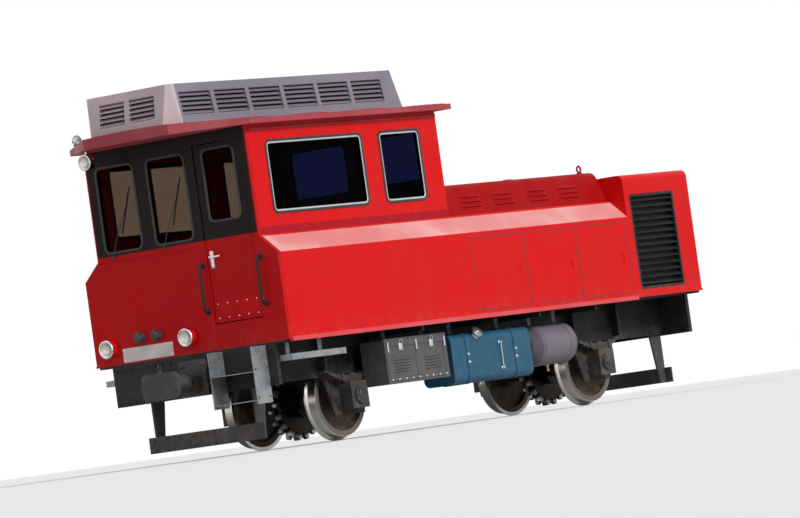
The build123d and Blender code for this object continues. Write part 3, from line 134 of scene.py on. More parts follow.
def turned(profile: Array | list[tuple[float, float]], steps: int = 40) -> Shell:
    """Turn a profile about the Z axis: each (radius, height) becomes a ring of points.

    Args:
        profile: Pairs of radius and height, from the bottom up round the outside.
        steps: Points in a ring.

    Returns:
        A shell closed at both ends by a flat face.
    """
    radius, height = np.array(profile, float).T[:, :, None, None]
    return lattice(radius * hoop(1.0, 2, steps) + height * np.array(UP))


def rounded_outline(width: float, height: float, radius: float, steps: int = 6) -> Array:
    """A rectangle with round corners: quarter circles of the radius about four corner centres.

    Args:
        width: Size along the first axis.
        height: Size along the second axis.
        radius: Radius of the corners.
        steps: Points in each corner.

    Returns:
        Points of two numbers, turning left, about the rectangle's middle.
    """
    signs = np.array([[1, 1], [-1, 1], [-1, -1], [1, -1]], float)
    centres = signs * (np.array([width, height]) / 2 - radius)
    angle = np.arange(4)[:, None] * np.pi / 2 + np.linspace(0, np.pi / 2, steps)
    arc = np.stack([np.cos(angle), np.sin(angle)], -1) * radius
    return (centres[:, None] + arc).reshape(-1, 2)


def bevelled(size: Point, radius: float, corner: float, steps: int = 4) -> Shell:
    """A block with rounded upright corners whose top and bottom edges are rounded too.

    The rings are rounded rectangles. Near each end they are r (1 - sin t) smaller all round at
    r (1 - cos t) from the end, which is a quarter circle.

    Args:
        size: Length, width and height.
        radius: Rounding of the top and bottom edges.
        corner: Radius of the upright corners, larger than the rounding.
        steps: Rings in each rounding.

    Returns:
        The shell about its own middle.
    """
    turn = np.linspace(0, np.pi / 2, steps)
    inset, climb = radius * (1 - np.sin(turn)), radius * (1 - np.cos(turn))
    insets = np.concatenate([inset, inset[::-1]])
    heights = np.concatenate([climb - size[2] / 2, size[2] / 2 - climb[::-1]])
    rings = []
    for gap, height in zip(insets, heights):
        ring = rounded_outline(size[0] - 2 * gap, size[1] - 2 * gap, max(corner - gap, corner * 0.2))
        rings.append(np.insert(ring, 2, height, axis=1))
    return lattice(np.array(rings))


def block(low: Point, high: Point, radius: float = 0.003) -> Shell:
    """A block between two corners with every edge rounded.

    Args:
        low: One corner.
        high: The opposite corner.
        radius: Rounding of the edges.

    Returns:
        The shell in place.
    """
    low_corner, high_corner = np.minimum(low, high), np.maximum(low, high)
    size = high_corner - low_corner
    rounding = min(radius, size.min() * 0.45)
    return bevelled(tuple(size), rounding, rounding * 1.05).shifted(*((low_corner + high_corner) / 2))


def carried(profile: Array, path: Places, up: Point, closed: bool = False) -> Shell:
    """Carry a profile along a path: path point + a (up x tangent) + b (up made square to the tangent).

    Args:
        profile: Points (a, b), turning left: a points to the left of the path and b upwards.
        path: Points in space.
        up: A direction that the path never runs along.
        closed: The path's end meets its start.

    Returns:
        The shell, closed at its ends where the path is open.
    """
    path = np.asarray(path, float)
    if closed:
        ahead, behind = np.roll(path, -1, 0) - path, path - np.roll(path, 1, 0)
    else:
        ahead = np.diff(path, axis=0, append=path[-1:] * 2 - path[-2:-1])
        behind = np.diff(path, axis=0, prepend=path[:1] * 2 - path[1:2])
    ahead, behind = unit(ahead), unit(behind)
    tangent = unit(ahead + behind)
    side = unit(np.cross(up, tangent))
    rise = np.cross(tangent, side)
    mitre = 1 / np.clip((ahead * tangent).sum(1), 0.5, 1)
    across = profile[None, :, :1] * mitre[:, None, None] * side[:, None]
    return lattice(path[:, None] + across + profile[None, :, 1:] * rise[:, None], closed)


def unit(vectors: Array) -> Array:
    """Vectors divided by their lengths."""
    return vectors / np.linalg.norm(vectors, axis=-1, keepdims=True)


def softened(corners: Places, radius: float, steps: int = 6) -> Array:
    """A path through corners, each one rounded: (1 - t)^2 a + 2 t (1 - t) corner + t^2 b.

    Args:
        corners: The path's points.
        radius: How far from a corner its rounding starts.
        steps: Points in each rounding.

    Returns:
        The path's points.
    """
    points = np.array(corners, float)
    t = np.linspace(0, 1, steps)[:, None]
    parts = [points[:1]]
    for before, corner, after in zip(points[:-2], points[1:-1], points[2:]):
        a, b = corner + unit(before - corner) * radius, corner + unit(after - corner) * radius
        parts.append((1 - t) ** 2 * a + 2 * t * (1 - t) * corner + t ** 2 * b)
    return np.concatenate(parts + [points[-1:]])


def strip(path: Array, size: tuple[float, float, float, int], up: Point, closed: bool = False) -> Shell:
    """A bar along a path. Its size is width, height and corner radius in mm and the steps in a corner."""
    return carried(rounded_outline(*(number / 1000 for number in size[:3]), size[3]), path, up, closed)


def tube(path: Array, radius: float, steps: int, up: Point = ALONG_Y, closed: bool = False) -> Shell:
    """A round bar along a path, with a number of sides."""
    return carried(circle(radius, steps), path, up, closed)


def bow(feet: Places, out: Point, bend: float, radius: float, steps: int,
        up: Point = ALONG_Y, bend_steps: int = 6) -> Shell:
    """A round bar that stands out from two feet and is bent at its two corners.

    Args:
        feet: The two feet.
        out: The way and the distance that it stands out.
        bend: How far from a corner its rounding starts.
        radius: The bar's radius.
        steps: The bar's sides.
        up: A direction that the bar never runs along.
        bend_steps: Points in each rounding.

    Returns:
        The shell.
    """
    start, end = np.array(feet, float)
    return tube(softened([start, start + out, end + out, end], bend, bend_steps), radius, steps, up)


def axes_for(way: Point) -> Array:
    """A matrix that turns Z to a direction, with the new axes as its columns."""
    return np.array(Vector(UP).rotation_difference(Vector(way)).to_matrix())


def facing(way: Point) -> Array:
    """Axes on a wall or a slope: level to the right as seen from outside, up it, and out of it.

    Args:
        way: The way out of it.

    Returns:
        The three axes as a matrix's columns.
    """
    out = unit(np.array(way, float))
    across = unit(np.cross(UP, out))
    return np.stack([across, np.cross(out, across), out], -1)


def scattered(shape: Shell, places: Places, way: Point = UP) -> Shell:
    """Stand a small shape at one place or at many, with its Z turned to a direction."""
    axes = axes_for(way)
    return joined([shape.placed(axes, place) for place in np.reshape(places, (-1, 3))])


def bolts(across: float, height: float, places: Places, way: Point) -> Shell:
    """Bolt heads of a size in mm: a washer, six sides and a top with its corners cut.

    Args:
        across: Size between two opposite corners.
        height: Height of a head.
        places: Where they stand.
        way: The way that they point.

    Returns:
        All the heads in one shell.
    """
    a, h = across / 1000, height / 1000
    washer = turned([(a * 0.62, -0.001), (a * 0.62, h * 0.2)], 12)
    head = turned([(a / 2, 0), (a / 2, h * 0.8), (a * 0.42, h)], 6)
    return scattered(joined([washer, head]), places, way)


def rivet(radius: float) -> Shell:
    """A round rivet head standing on Z: radius cos t at height 0.6 radius sin t."""
    head = [(radius * np.cos(t), radius * 0.6 * np.sin(t)) for t in np.linspace(0, 1.35, 4)]
    return turned([(radius, -0.001)] + head, 8)


def row_of(start: Places, end: Places, count: int = 2) -> Array:
    """Evenly spaced points between two ends."""
    t = np.linspace(0, 1, count)[:, None]
    return np.array(start, float) * (1 - t) + np.array(end, float) * t


def on_wall(points: Array | list[tuple[float, float]], way: Point, middle: Places) -> Array:
    """Put flat points (across, up) on a wall or a slope, with the flat origin at its middle."""
    return np.insert(points, 2, 0.0, axis=1) @ facing(way).T + np.array(middle, float)


def wall_panel(low: Point, high: Point, way: Point, proud: float, radius: float) -> Shell:
    """A thin panel with round corners and a rounded rim that lies on a wall.

    Args:
        low: One corner on the wall.
        high: The opposite corner.
        way: The way out of the wall.
        proud: How far it stands out.
        radius: Radius of its corners.

    Returns:
        The shell, with half its thickness in the wall.
    """
    ends, axes = np.array([low, high], float), facing(way)
    span = np.abs((ends[1] - ends[0]) @ axes)
    return bevelled((span[0], span[1], 2 * proud), proud * 0.7, radius).placed(axes, ends.sum(0) / 2)


def vent(width: float, height: float, proud: float) -> Shell:
    """A pressed louvre: a quarter bulge whose lower edge stands open.

    Across its height t from 0 to 1 it stands out by (1 - t^2) of its depth, and its ends close
    with the root of 1 less the sixth power of the share of its half width.

    Args:
        width: Its length.
        height: Its height.
        proud: How far its lower edge stands out.

    Returns:
        The shell, flat on x and y and standing out along z.
    """
    along = np.linspace(-1, 1, 15)[:, None]
    t = np.linspace(0, 1, 6)
    ends = np.sqrt(np.clip(1 - along ** 6, 0.0004, 1))
    x, y = along * width / 2 + 0 * t, (t - 0.5) * height + 0 * along
    outer = np.stack([x, y, proud * ends * (1 - t ** 2)], -1)
    inner = np.stack([x, y, np.full_like(x, -0.002)], -1)[:, ::-1]
    return lattice(np.concatenate([outer, inner], 1))


def cushion(size: Point, crown: float, seams: tuple[float, ...]) -> Shell:
    """A stuffed pad: a rounded box whose top swells and dips along its seams.

    Its corners follow powers of cosine and sine, 0.3 around and 0.45 from bottom to top. The top
    is raised by crown (1 - x^2)(1 - y^2), with x and y as shares of the half sizes, and sinks by
    7 mm in a bell curve 8 mm wide at each seam.

    Args:
        size: Length, width and thickness.
        crown: How far the middle swells.
        seams: Where the seams run, as shares of the half length.

    Returns:
        The shell about its own middle.
    """
    def power(wave: Array, share: float) -> Array:
        """A wave's size to a power, with its sign."""
        return np.sign(wave) * np.abs(wave) ** share

    around = circle(1.0, 96)
    rise = np.linspace(-1.561, 1.561, 40)[:, None]
    x = power(np.cos(rise), 0.45) * power(around[:, 0], 0.3)
    y = power(np.cos(rise), 0.45) * power(around[:, 1], 0.3)
    z = power(np.sin(rise), 0.45) + 0 * x
    high = np.clip(z, 0, 1)
    z = z * (size[2] / 2 - crown) + high * crown * (1 - x ** 2) * (1 - y ** 2)
    for seam in seams:
        z = z - high * 0.007 * np.exp(-((x - seam) * size[0] / 2 / 0.008) ** 2)
    return lattice(np.stack([x * size[0] / 2, y * size[1] / 2, z], -1))


class Turning(Enum):
    """Small turned forms: points in a ring, and in mm radius and height by turns from the bottom up."""

    BOX_CAP = 32, (50, -2, 50, 6, 44, 10, 20, 13, 18, 20, 6, 22)
    BUFFER_PIN = 24, (24, -20, 24, 16, 19, 22, 8, 23, 8, 32)
    LID_HINGE = 16, (10, 0, 10, 100, 7, 103)
    FILLER = 40, (50, -30, 50, 12, 46, 18, 46, 22, 60, 24, 62, 30, 62, 50, 56, 58, 20, 60, 18, 66, 4, 68)
    GAUGE_END = 20, (18, 0, 18, 8, 10, 12, 10, 22, 14, 26, 12, 34, 3, 36)
    GAUGE_TUBE = 12, (6, 505, 6, 755)
    DRAIN_PLUG = 6, (30, 0, 30, 10, 16, 12, 16, 30, 4, 32)
    END_BOSS = 24, (36, -10, 36, 10, 24, 14, 22, 26, 4, 28)
    DRAIN_COCK = 16, (16, -10, 16, 14, 9, 18, 9, 48, 13, 52, 13, 64, 3, 66)
    KNUCKLE = 14, (7, -35, 7, 35)
    SCREW = 12, (9, -1, 9, 2, 6, 5, 2, 5.5)
    GRILLE_SCREW = 10, (8, -1, 8, 1, 5, 4, 2, 4.5)
    BAY_SCREW = 10, (8, -1, 8, 2, 5, 4, 2, 4.5)
    PLATE_SCREW = 10, (7, -1, 6, 2, 2, 3)
    HANDLE_FOOT = 16, (16, -1, 16, 4, 8, 6)
    EYE_FOOT = 24, (30, -2, 30, 8, 22, 14, 12, 18)
    CORNER_RAIL_FOOT = 20, (30, -1, 30, 4, 20, 7, 13, 8)
    GRAB_RAIL_FOOT = 24, (13, -1, 30, -1, 30, 4, 20, 7, 14, 10)
    WIPER_SHAFT = 20, (20, -2, 20, 8, 12, 12, 12, 24, 3, 28)
    HANDLE_NECK = 20, (12, 0, 12, 40, 9, 44, 3, 45)
    DOOR_LOCK = 16, (10, 0, 10, 7, 4, 7)
    SOCKET = 32, (55, -2, 55, 10, 46, 14, 44, 50, 50, 54, 50, 66, 42, 72, 4, 74)
    BUTTON = 16, (13, 0, 13, 4, 9, 5, 9, 12, 2, 13)
    LEVER_BOOT = 24, (50, 0, 50, 6, 34, 14, 28, 22, 30, 26, 18, 36, 10, 46)
    BULB = 20, (9, -14, 10, -8, 7, -2, 2, 0)

    def at(self, places: Places, way: Point = UP) -> Shell:
        """The form at one place or at many, with its Z turned to a direction."""
        steps, numbers = self.value
        return scattered(turned(np.reshape(numbers, (-1, 2)) / 1000, steps), places, way)


# Finishes

class Tree:
    """The node tree of one material, with short ways to add and join nodes."""

    def __init__(self, name: str) -> None:
        """Start a material that holds a Principled shader alone.

        Args:
            name: The material's name.
        """
        self.material = bpy.data.materials.new(name)
        self.material.use_nodes = True
        self.nodes = self.material.node_tree.nodes
        self.nodes.clear()
        self.shader = self.nodes.new("ShaderNodeBsdfPrincipled")
        self.feed(self.nodes.new("ShaderNodeOutputMaterial").inputs[0], self.shader.outputs[0])
        self.coordinates = self.add("TexCoord", {}, "Object")

    def feed(self, socket: Socket, value: object) -> None:
        """Link a socket to an input or write a constant to it.

        Args:
            socket: The input socket.
            value: An output socket, a number, a colour or a vector.
        """
        if isinstance(value, Socket):
            self.material.node_tree.links.new(value, socket)
        elif socket.type == "RGBA":
            socket.default_value = (*value, 1.0)
        else:
            socket.default_value = value

    def add(self, kind: str, values: dict, output: int | str = 0, **settings: object) -> Socket:
        """Add a node.

        Args:
            kind: Blender's name of the node without "ShaderNode".
            values: What goes to its inputs, by name or number.
            output: The output to hand back.
            settings: Its other settings.

        Returns:
            The output socket.
        """
        node = self.nodes.new("ShaderNode" + kind)
        for name, setting in settings.items():
            setattr(node, name, setting)
        for name, value in values.items():
            self.feed(node.inputs[name], value)
        return node.outputs[output]

    def set(self, **values: object) -> None:
        """Set the shader's inputs by name, with _ for a space."""
        for name, value in values.items():
            self.feed(self.shader.inputs[name.replace("_", " ")], value)

    def mapped(self, scale: Point = (1, 1, 1), place: Point = (0, 0, 0)) -> Socket:
        """Object coordinates, moved and scaled: (point + place) x scale."""
        moved = tuple(p * s for p, s in zip(place, scale))
        return self.add("Mapping", {"Scale": scale, "Location": moved, "Vector": self.coordinates})

    def noise(self, scale: float, detail: float = 4, rough: float = 0.55, vector: object = None) -> Socket:
        """Cloudy noise from 0 to 1, with clouds to a metre, finer layers and their strength."""
        values = {"Scale": scale, "Detail": detail, "Roughness": rough, "Vector": vector or self.coordinates}
        return self.add("TexNoise", values, "Fac")

    def bands(self, scale: float, axis: str, vector: object = None) -> Socket:
        """Even stripes across an axis."""
        values = {"Scale": scale, "Vector": vector or self.coordinates}
        return self.add("TexWave", values, "Fac", bands_direction=axis)

    def part(self, axis: str, vector: object = None) -> Socket:
        """One coordinate alone."""
        return self.add("SeparateXYZ", {0: vector or self.coordinates}, axis)

    def math(self, kind: str, a: object, b: object = 0.0) -> Socket:
        """A sum on one or two values, by Blender's name of it."""
        return self.add("Math", {0: a, 1: b}, operation=kind)

    def times(self, a: object, b: object) -> Socket:
        """One value times another."""
        return self.math("MULTIPLY", a, b)

    def ramp(self, value: object, low: float, high: float, start: float = 0.0, end: float = 1.0) -> Socket:
        """Take a value's range from low to high onto start to end, smoothly."""
        values = {"Value": value, "From Min": low, "From Max": high, "To Min": start, "To Max": end}
        return self.add("MapRange", values, interpolation_type="SMOOTHSTEP")

    def clouds(self, noise: tuple[float, ...], *span: float) -> Socket:
        """Noise with its range taken onto another, as in ramp."""
        return self.ramp(self.noise(*noise), *span)

    def mix(self, share: object, a: object, b: object) -> Socket:
        """Mix two colours by the share of the second."""
        return self.add("Mix", {0: share, 6: a, 7: b}, 2, data_type="RGBA")

    def bump(self, height: object, depth: float, strength: float = 1.0) -> None:
        """Add relief of a depth in metres to the shader's normal, on top of any that is there."""
        below = {"Normal": link.from_socket for link in self.shader.inputs["Normal"].links}
        self.set(Normal=self.add("Bump", {"Strength": strength, "Distance": depth, "Height": height} | below))

    def round_edges(self, radius: float) -> None:
        """Shade sharp edges as if they were rounded by a radius in metres."""
        self.set(Normal=self.add("Bevel", {"Radius": radius}, samples=4))

    def edges(self, radius: float, low: float, high: float) -> Socket:
        """How near a sharp edge is: 1 less the cosine between the rounded and the plain normal.

        Args:
            radius: How far from an edge it reaches, in metres.
            low: Where the mask starts.
            high: Where it is full.

        Returns:
            The value socket, 1 at an edge.
        """
        bevel = self.add("Bevel", {"Radius": radius}, samples=4)
        plain = self.add("NewGeometry", {}, "Normal")
        cosine = self.add("VectorMath", {0: bevel, 1: plain}, "Value", operation="DOT_PRODUCT")
        return self.ramp(self.math("SUBTRACT", 1.0, cosine), low, high)


@dataclass(frozen=True)
class Finish:
    """The look of a surface."""

    name: str

    def material(self) -> bpy.types.Material:
        """Make the material.

        Returns:
            The new material.
        """
        tree = Tree(self.name)
        self.fill(tree)
        return tree.material

    def fill(self, tree: Tree) -> None:
        """Add the nodes of the finish to a tree, in each kind's own way."""
        raise NotImplementedError


@dataclass(frozen=True)
class Band:
    """A stretch of other colour between two heights, up to an x and within a half width. Some bands are other
    paint and some are painted highlights, light or shade.
    """

    low: float
    high: float
    colour: Point
    share: float = 1.0
    patchy: float = 0.0
    x_end: float = 99.0
    half: float = 99.0


@dataclass(frozen=True)
class Paint(Finish):
    """Sprayed paint on metal, with faded patches, road dust low down and rubbed edges."""

    colour: Point
    faded: Point
    under: Point = (0.16, 0.13, 0.11)
    dust: Point = (0.30, 0.25, 0.19)
    dust_low: float = 1.00
    dust_high: float = 1.30
    dust_share: float = 0.25
    streak: float = 0.12
    rough: float = 0.36
    shine: float = 0.25
    wear: float = 0.6
    grain: float = 0.0004
    edge: float = 0.004
    bands: tuple[Band, ...] = ()

    def banded(self, tree: Tree, colour: object) -> Socket:
        """Lay the bands over a colour.

        Args:
            tree: The material's tree.
            colour: The colour socket below.

        Returns:
            The colour socket.
        """
        height, along, across = tree.part("Z"), tree.part("X"), tree.math("ABSOLUTE", tree.part("Y"))
        for band in self.bands:
            mask = tree.clouds((1.3, 2), 0.38, 0.66, 1.0 - band.patchy, 1.0)
            for value, edge, blur, before, after in (
                    (height, band.low, 0.003, 0.0, band.share), (height, band.high, 0.003, 1.0, 0.0),
                    (along, band.x_end, 0.002, 1.0, 0.0), (across, band.half, 0.002, 1.0, 0.0)):
                mask = tree.times(mask, tree.ramp(value, edge - blur, edge + blur, before, after))
            colour = tree.mix(mask, colour, band.colour)
        return colour

    def fill(self, tree: Tree) -> None:
        """Lay fading, bands, streaks, dust and rubbed edges over the paint.

        Args:
            tree: The material's tree.
        """
        colour = tree.mix(tree.times(tree.clouds((1.1, 5, 0.6), 0.35, 0.75), 0.55), self.colour, self.faded)
        streak_field = tree.noise(6, 4, 0.6, tree.mapped((3.2, 3.2, 0.35)))
        streaks = tree.ramp(streak_field, 0.56, 0.78, 0.0, self.streak)
        colour = tree.mix(streaks, self.banded(tree, colour), self.dust)
        low_down = tree.ramp(tree.part("Z"), self.dust_low, self.dust_high, 1.0, 0.0)
        dirt = tree.times(tree.times(low_down, tree.clouds((9, 6, 0.7), 0.38, 0.7)), self.dust_share)
        colour = tree.mix(dirt, colour, self.dust)
        rubbed = tree.times(tree.edges(self.edge, 0.05, 0.3), tree.clouds((38, 3), 0.5, 0.62, 0.0, self.wear))
        rough = tree.clouds((4, 5), 0.3, 0.7, self.rough - 0.06, self.rough + 0.1)
        tree.set(Base_Color=tree.mix(rubbed, colour, self.under), Roughness=tree.math("ADD", rough, dirt),
                 Specular_IOR_Level=self.shine)
        tree.round_edges(self.edge * 0.8)
        tree.bump(tree.noise(2.2, 2), 0.0035, 0.25)
        tree.bump(tree.noise(420, 2), self.grain, 0.35)


@dataclass(frozen=True)
class Cast(Finish):
    """Rough cast or forged metal, oily and dusty, with rust in its pores."""

    colour: Point
    rust: Point = (0.15, 0.075, 0.04)
    dust: Point = (0.25, 0.21, 0.17)
    bright: Point = (0.35, 0.33, 0.31)
    rough: float = 0.55
    metal: float = 0.35
    pores: float = 0.0012

    def fill(self, tree: Tree) -> None:
        """Lay rust, dust and bright edges over the metal.

        Args:
            tree: The material's tree.
        """
        colour = tree.mix(tree.clouds((7, 6, 0.65), 0.52, 0.72, 0.0, 0.55), self.colour, self.rust)
        dusty = tree.clouds((3, 6, 0.7), 0.45, 0.8, 0.0, 0.5)
        rubbed = tree.times(tree.edges(0.004, 0.05, 0.35), 0.45)
        tree.set(Base_Color=tree.mix(rubbed, tree.mix(dusty, colour, self.dust), self.bright),
                 Roughness=tree.math("ADD", tree.times(dusty, 0.35), self.rough), Metallic=self.metal)
        tree.round_edges(0.004)
        tree.bump(tree.noise(90, 5, 0.7), self.pores, 0.6)
        cells = tree.add("TexVoronoi", {"Scale": 160, "Vector": tree.coordinates}, "Distance")
        tree.bump(cells, self.pores * 0.5, 0.3)


@dataclass(frozen=True)
class Metal(Finish):
    """Bare or plated metal with fine brushing."""

    colour: Point
    rough: float = 0.3
    brush: Point = (4, 4, 240)
    depth: float = 0.0002
    stain: float = 0.3

    def fill(self, tree: Tree) -> None:
        """Stretch noise into brush lines and lay darker stains over the metal.

        Args:
            tree: The material's tree.
        """
        lines = tree.noise(1.0, 3, 0.6, tree.mapped(self.brush))
        marks = tree.clouds((14, 5, 0.65), 0.5, 0.75, 0.0, self.stain)
        tree.set(Base_Color=tree.mix(marks, self.colour, tuple(c * 0.35 for c in self.colour)),
                 Metallic=1.0, Roughness=tree.math("ADD", tree.times(lines, 0.18), self.rough))
        tree.round_edges(0.002)
        tree.bump(lines, self.depth, 0.5)


@dataclass(frozen=True)
class Rubber(Finish):
    """Black rubber with a fine grain and a bloom of dust."""

    colour: Point = (0.018, 0.018, 0.02)
    bloom: Point = (0.14, 0.13, 0.12)
    ribs: float = 0.0

    def fill(self, tree: Tree) -> None:
        """Lay the bloom over the rubber, with ribs where it has them.

        Args:
            tree: The material's tree.
        """
        bloom = tree.clouds((12, 5, 0.6), 0.4, 0.8, 0.0, 0.35)
        rough = tree.ramp(bloom, 0, 0.35, 0.5, 0.8)
        tree.set(Base_Color=tree.mix(bloom, self.colour, self.bloom), Roughness=rough)
        tree.bump(tree.noise(500, 2), 0.0003, 0.4)
        if self.ribs:
            tree.bump(tree.bands(self.ribs, "Y"), 0.002, 0.8)


@dataclass(frozen=True)
class GlassWithPaintedReflectionAndShade(Finish):
    """Thin window glass with painted reflection and shade in its tint: brown-grey in front, at the back and
    on the right, darker at the back and on the right as painted shade, and navy on the left as a painted
    reflection of the sky. The front's brown-grey is partly a painted reflection of the landscape.
    """

    # front: brown-grey glass, partly a painted reflection of the landscape
    clear: Point = (0.42, 0.35, 0.28)
    # right: darker, painted shade seen through the cab
    right: Point = (0.21, 0.17, 0.14)
    # left: navy, a painted reflection of the sky
    left: Point = (0.030, 0.044, 0.240)
    # rear: darker still, painted shade seen through the cab
    rear: Point = (0.12, 0.11, 0.11)

    def fill(self, tree: Tree) -> None:
        """Choose the tint by where the pane is; the tints hold painted reflection and shade.

        Args:
            tree: The material's tree.
        """
        tint = tree.mix(tree.ramp(tree.part("Y"), 0.985, 0.995), self.clear, self.right)
        tint = tree.mix(tree.ramp(tree.part("Y"), -0.985, -0.995), tint, self.left)
        tint = tree.mix(tree.ramp(tree.part("X"), -0.52, -0.50), tint, self.rear)
        tree.set(Base_Color=tint, Roughness=0.0, Transmission_Weight=1.0, IOR=1.05)


@dataclass(frozen=True)
class Ringed(Finish):
    """Metal with rings about an axis along Y."""

    axis_x: float
    axis_z: float

    def radius(self, tree: Tree) -> Socket:
        """Distance from the axis: the root of x squared plus z squared.

        Args:
            tree: The material's tree.

        Returns:
            The value socket.
        """
        local = tree.mapped(place=(-self.axis_x, 0, -self.axis_z))
        squares = [tree.times(value, value) for value in (tree.part("X", local), tree.part("Z", local))]
        return tree.math("SQRT", tree.math("ADD", *squares))


@dataclass(frozen=True)
class WheelSteel(Ringed):
    """A rolled steel wheel: a bright tread, a rubbed rim and a dusty, oily web."""

    tread: float = 0.400
    rim: float = 0.340
    hub: float = 0.120
    web: Point = (0.055, 0.045, 0.038)
    rust: Point = (0.17, 0.115, 0.075)
    rubbed: Point = (0.16, 0.13, 0.11)
    oil: Point = (0.03, 0.028, 0.026)
    bright: Point = (0.58, 0.57, 0.55)

    def fill(self, tree: Tree) -> None:
        """Lay the rim, the hub and the tread over the web, and fine turning marks.

        Args:
            tree: The material's tree.
        """
        radius = self.radius(tree)
        colour = tree.mix(tree.clouds((9, 6, 0.65), 0.35, 0.7), self.web, self.rust)
        rim = tree.ramp(radius, self.rim - 0.004, self.rim + 0.004)
        colour = tree.mix(tree.times(rim, 0.8), colour, self.rubbed)
        hub = tree.ramp(radius, self.hub + 0.05, self.hub - 0.01)
        colour = tree.mix(tree.times(hub, 0.7), colour, self.oil)
        running = tree.ramp(radius, self.tread - 0.012, self.tread - 0.005)
        tree.set(Base_Color=tree.mix(running, colour, self.bright),
                 Roughness=tree.ramp(running, 0, 1, 0.62, 0.24), Metallic=tree.ramp(running, 0, 1, 0.25, 1.0))
        tree.round_edges(0.004)
        tree.bump(tree.noise(60, 5, 0.7), 0.0008, 0.5)
        tree.bump(tree.math("SINE", tree.times(radius, 900.0)), 0.0002, 0.25)


@dataclass(frozen=True)
class PinionSteel(Ringed):
    """A toothed disc with bright flanks and dark grease towards its root."""

    root: float = 0.306
    oil: Point = (0.035, 0.028, 0.022)
    flank: Point = (0.52, 0.51, 0.49)

    def fill(self, tree: Tree) -> None:
        """Go from grease at the root to bright steel near the tips.

        Args:
            tree: The material's tree.
        """
        grease = tree.clouds((26, 5, 0.7), 0.42, 0.62)
        bright = tree.times(tree.ramp(self.radius(tree), self.root + 0.01, self.root + 0.04),
                            tree.ramp(grease, 0, 1, 1.0, 0.35))
        tree.set(Base_Color=tree.mix(bright, self.oil, self.flank), Metallic=0.85,
                 Roughness=tree.ramp(bright, 0, 1, 0.35, 0.26))
        tree.round_edges(0.0035)
        tree.bump(grease, 0.0015, 0.5)


@dataclass(frozen=True)
class LeafSteel(Ringed):
    """Stacked spring leaves with dark joints along circles about the bend's centre."""

    leaf: float = 0.014
    steel: Point = (0.07, 0.068, 0.066)
    rust: Point = (0.17, 0.09, 0.05)
    gap: Point = (0.01, 0.009, 0.008)

    def fill(self, tree: Tree) -> None:
        """Put a joint where the radius divided by the leaf is whole.

        Args:
            tree: The material's tree.
        """
        share = tree.math("FRACT", tree.math("DIVIDE", self.radius(tree), self.leaf))
        joint = tree.ramp(tree.math("ABSOLUTE", tree.math("SUBTRACT", share, 0.5)), 0.38, 0.47)
        rusty = tree.clouds((11, 6, 0.7), 0.45, 0.7, 0.0, 0.6)
        colour = tree.mix(joint, tree.mix(rusty, self.steel, self.rust), self.gap)
        tree.set(Base_Color=colour, Metallic=0.3, Roughness=0.5)
        tree.round_edges(0.002)
        tree.bump(tree.math("SUBTRACT", 1.0, joint), 0.003, 0.8)
        tree.bump(tree.noise(70, 4), 0.0006, 0.5)


@dataclass(frozen=True)
class Chequer(Finish):
    """Tread plate with raised bars in two directions, rubbed bright on top."""

    colour: Point = (0.30, 0.33, 0.35)
    dust: Point = (0.12, 0.10, 0.085)
    bright: Point = (0.62, 0.63, 0.64)
    pitch: float = 14.0

    def fill(self, tree: Tree) -> None:
        """Raise a bar where both crossed stripes are high.

        Args:
            tree: The material's tree.
        """
        crossed = tree.bands(self.pitch, "DIAGONAL", tree.mapped((1, -1, 1)))
        bars = tree.ramp(tree.times(tree.bands(self.pitch, "DIAGONAL"), crossed), 0.45, 0.7)
        dirt = tree.clouds((8, 6, 0.7), 0.4, 0.75, 0.0, 0.8)
        colour = tree.mix(tree.times(bars, 0.5), tree.mix(dirt, self.colour, self.dust), self.bright)
        tree.set(Base_Color=colour, Metallic=0.6, Roughness=0.42)
        tree.round_edges(0.002)
        tree.bump(bars, 0.0022, 0.9)


@dataclass(frozen=True)
class CoolingFins(Finish):
    """Thin fins with painted shade in the dark gaps between them."""

    pitch: float = 90.0
    # near black: painted shade in the gaps between the fins
    deep: Point = (0.012, 0.012, 0.013)
    edge: Point = (0.075, 0.075, 0.08)

    def fill(self, tree: Tree) -> None:
        """Lay stripes along X over tubes along Z.

        Args:
            tree: The material's tree.
        """
        fins = tree.bands(self.pitch, "Z")
        colour = tree.mix(tree.ramp(fins, 0.3, 0.8), self.deep, self.edge)
        tree.set(Base_Color=colour, Metallic=0.5, Roughness=0.5)
        tree.bump(fins, 0.003, 0.9)
        tree.bump(tree.bands(12.0, "X"), 0.004, 0.4)


@dataclass(frozen=True)
class SeatCloth(Finish):
    """Woven seat cloth with a soft sheen."""

    colour: Point = (0.030, 0.032, 0.042)
    thread: float = 260.0

    def fill(self, tree: Tree) -> None:
        """Cross the threads and wear them lighter.

        Args:
            tree: The material's tree.
        """
        warp, across, weft = (tree.bands(self.thread, axis) for axis in "XYZ")
        weave = tree.math("MAXIMUM", tree.times(warp, across), tree.times(weft, across))
        worn = tree.clouds((5, 4), 0.4, 0.8, 0.0, 0.5)
        lighter = tuple(c * 2.4 for c in self.colour)
        tree.set(Base_Color=tree.mix(tree.math("ADD", tree.times(weave, 0.4), worn), self.colour, lighter),
                 Roughness=0.85, Sheen_Weight=0.4)
        tree.bump(weave, 0.0006, 0.7)


@dataclass(frozen=True)
class LampGlass(Finish):
    """A pressed lens with fine upright flutes."""

    colour: Point = (0.97, 0.95, 0.90)

    def fill(self, tree: Tree) -> None:
        """Make it clear and flute it."""
        tree.set(Base_Color=self.colour, Roughness=0.04, Transmission_Weight=1.0, IOR=1.5)
        tree.bump(tree.bands(34.0, "Y"), 0.0012, 0.6)


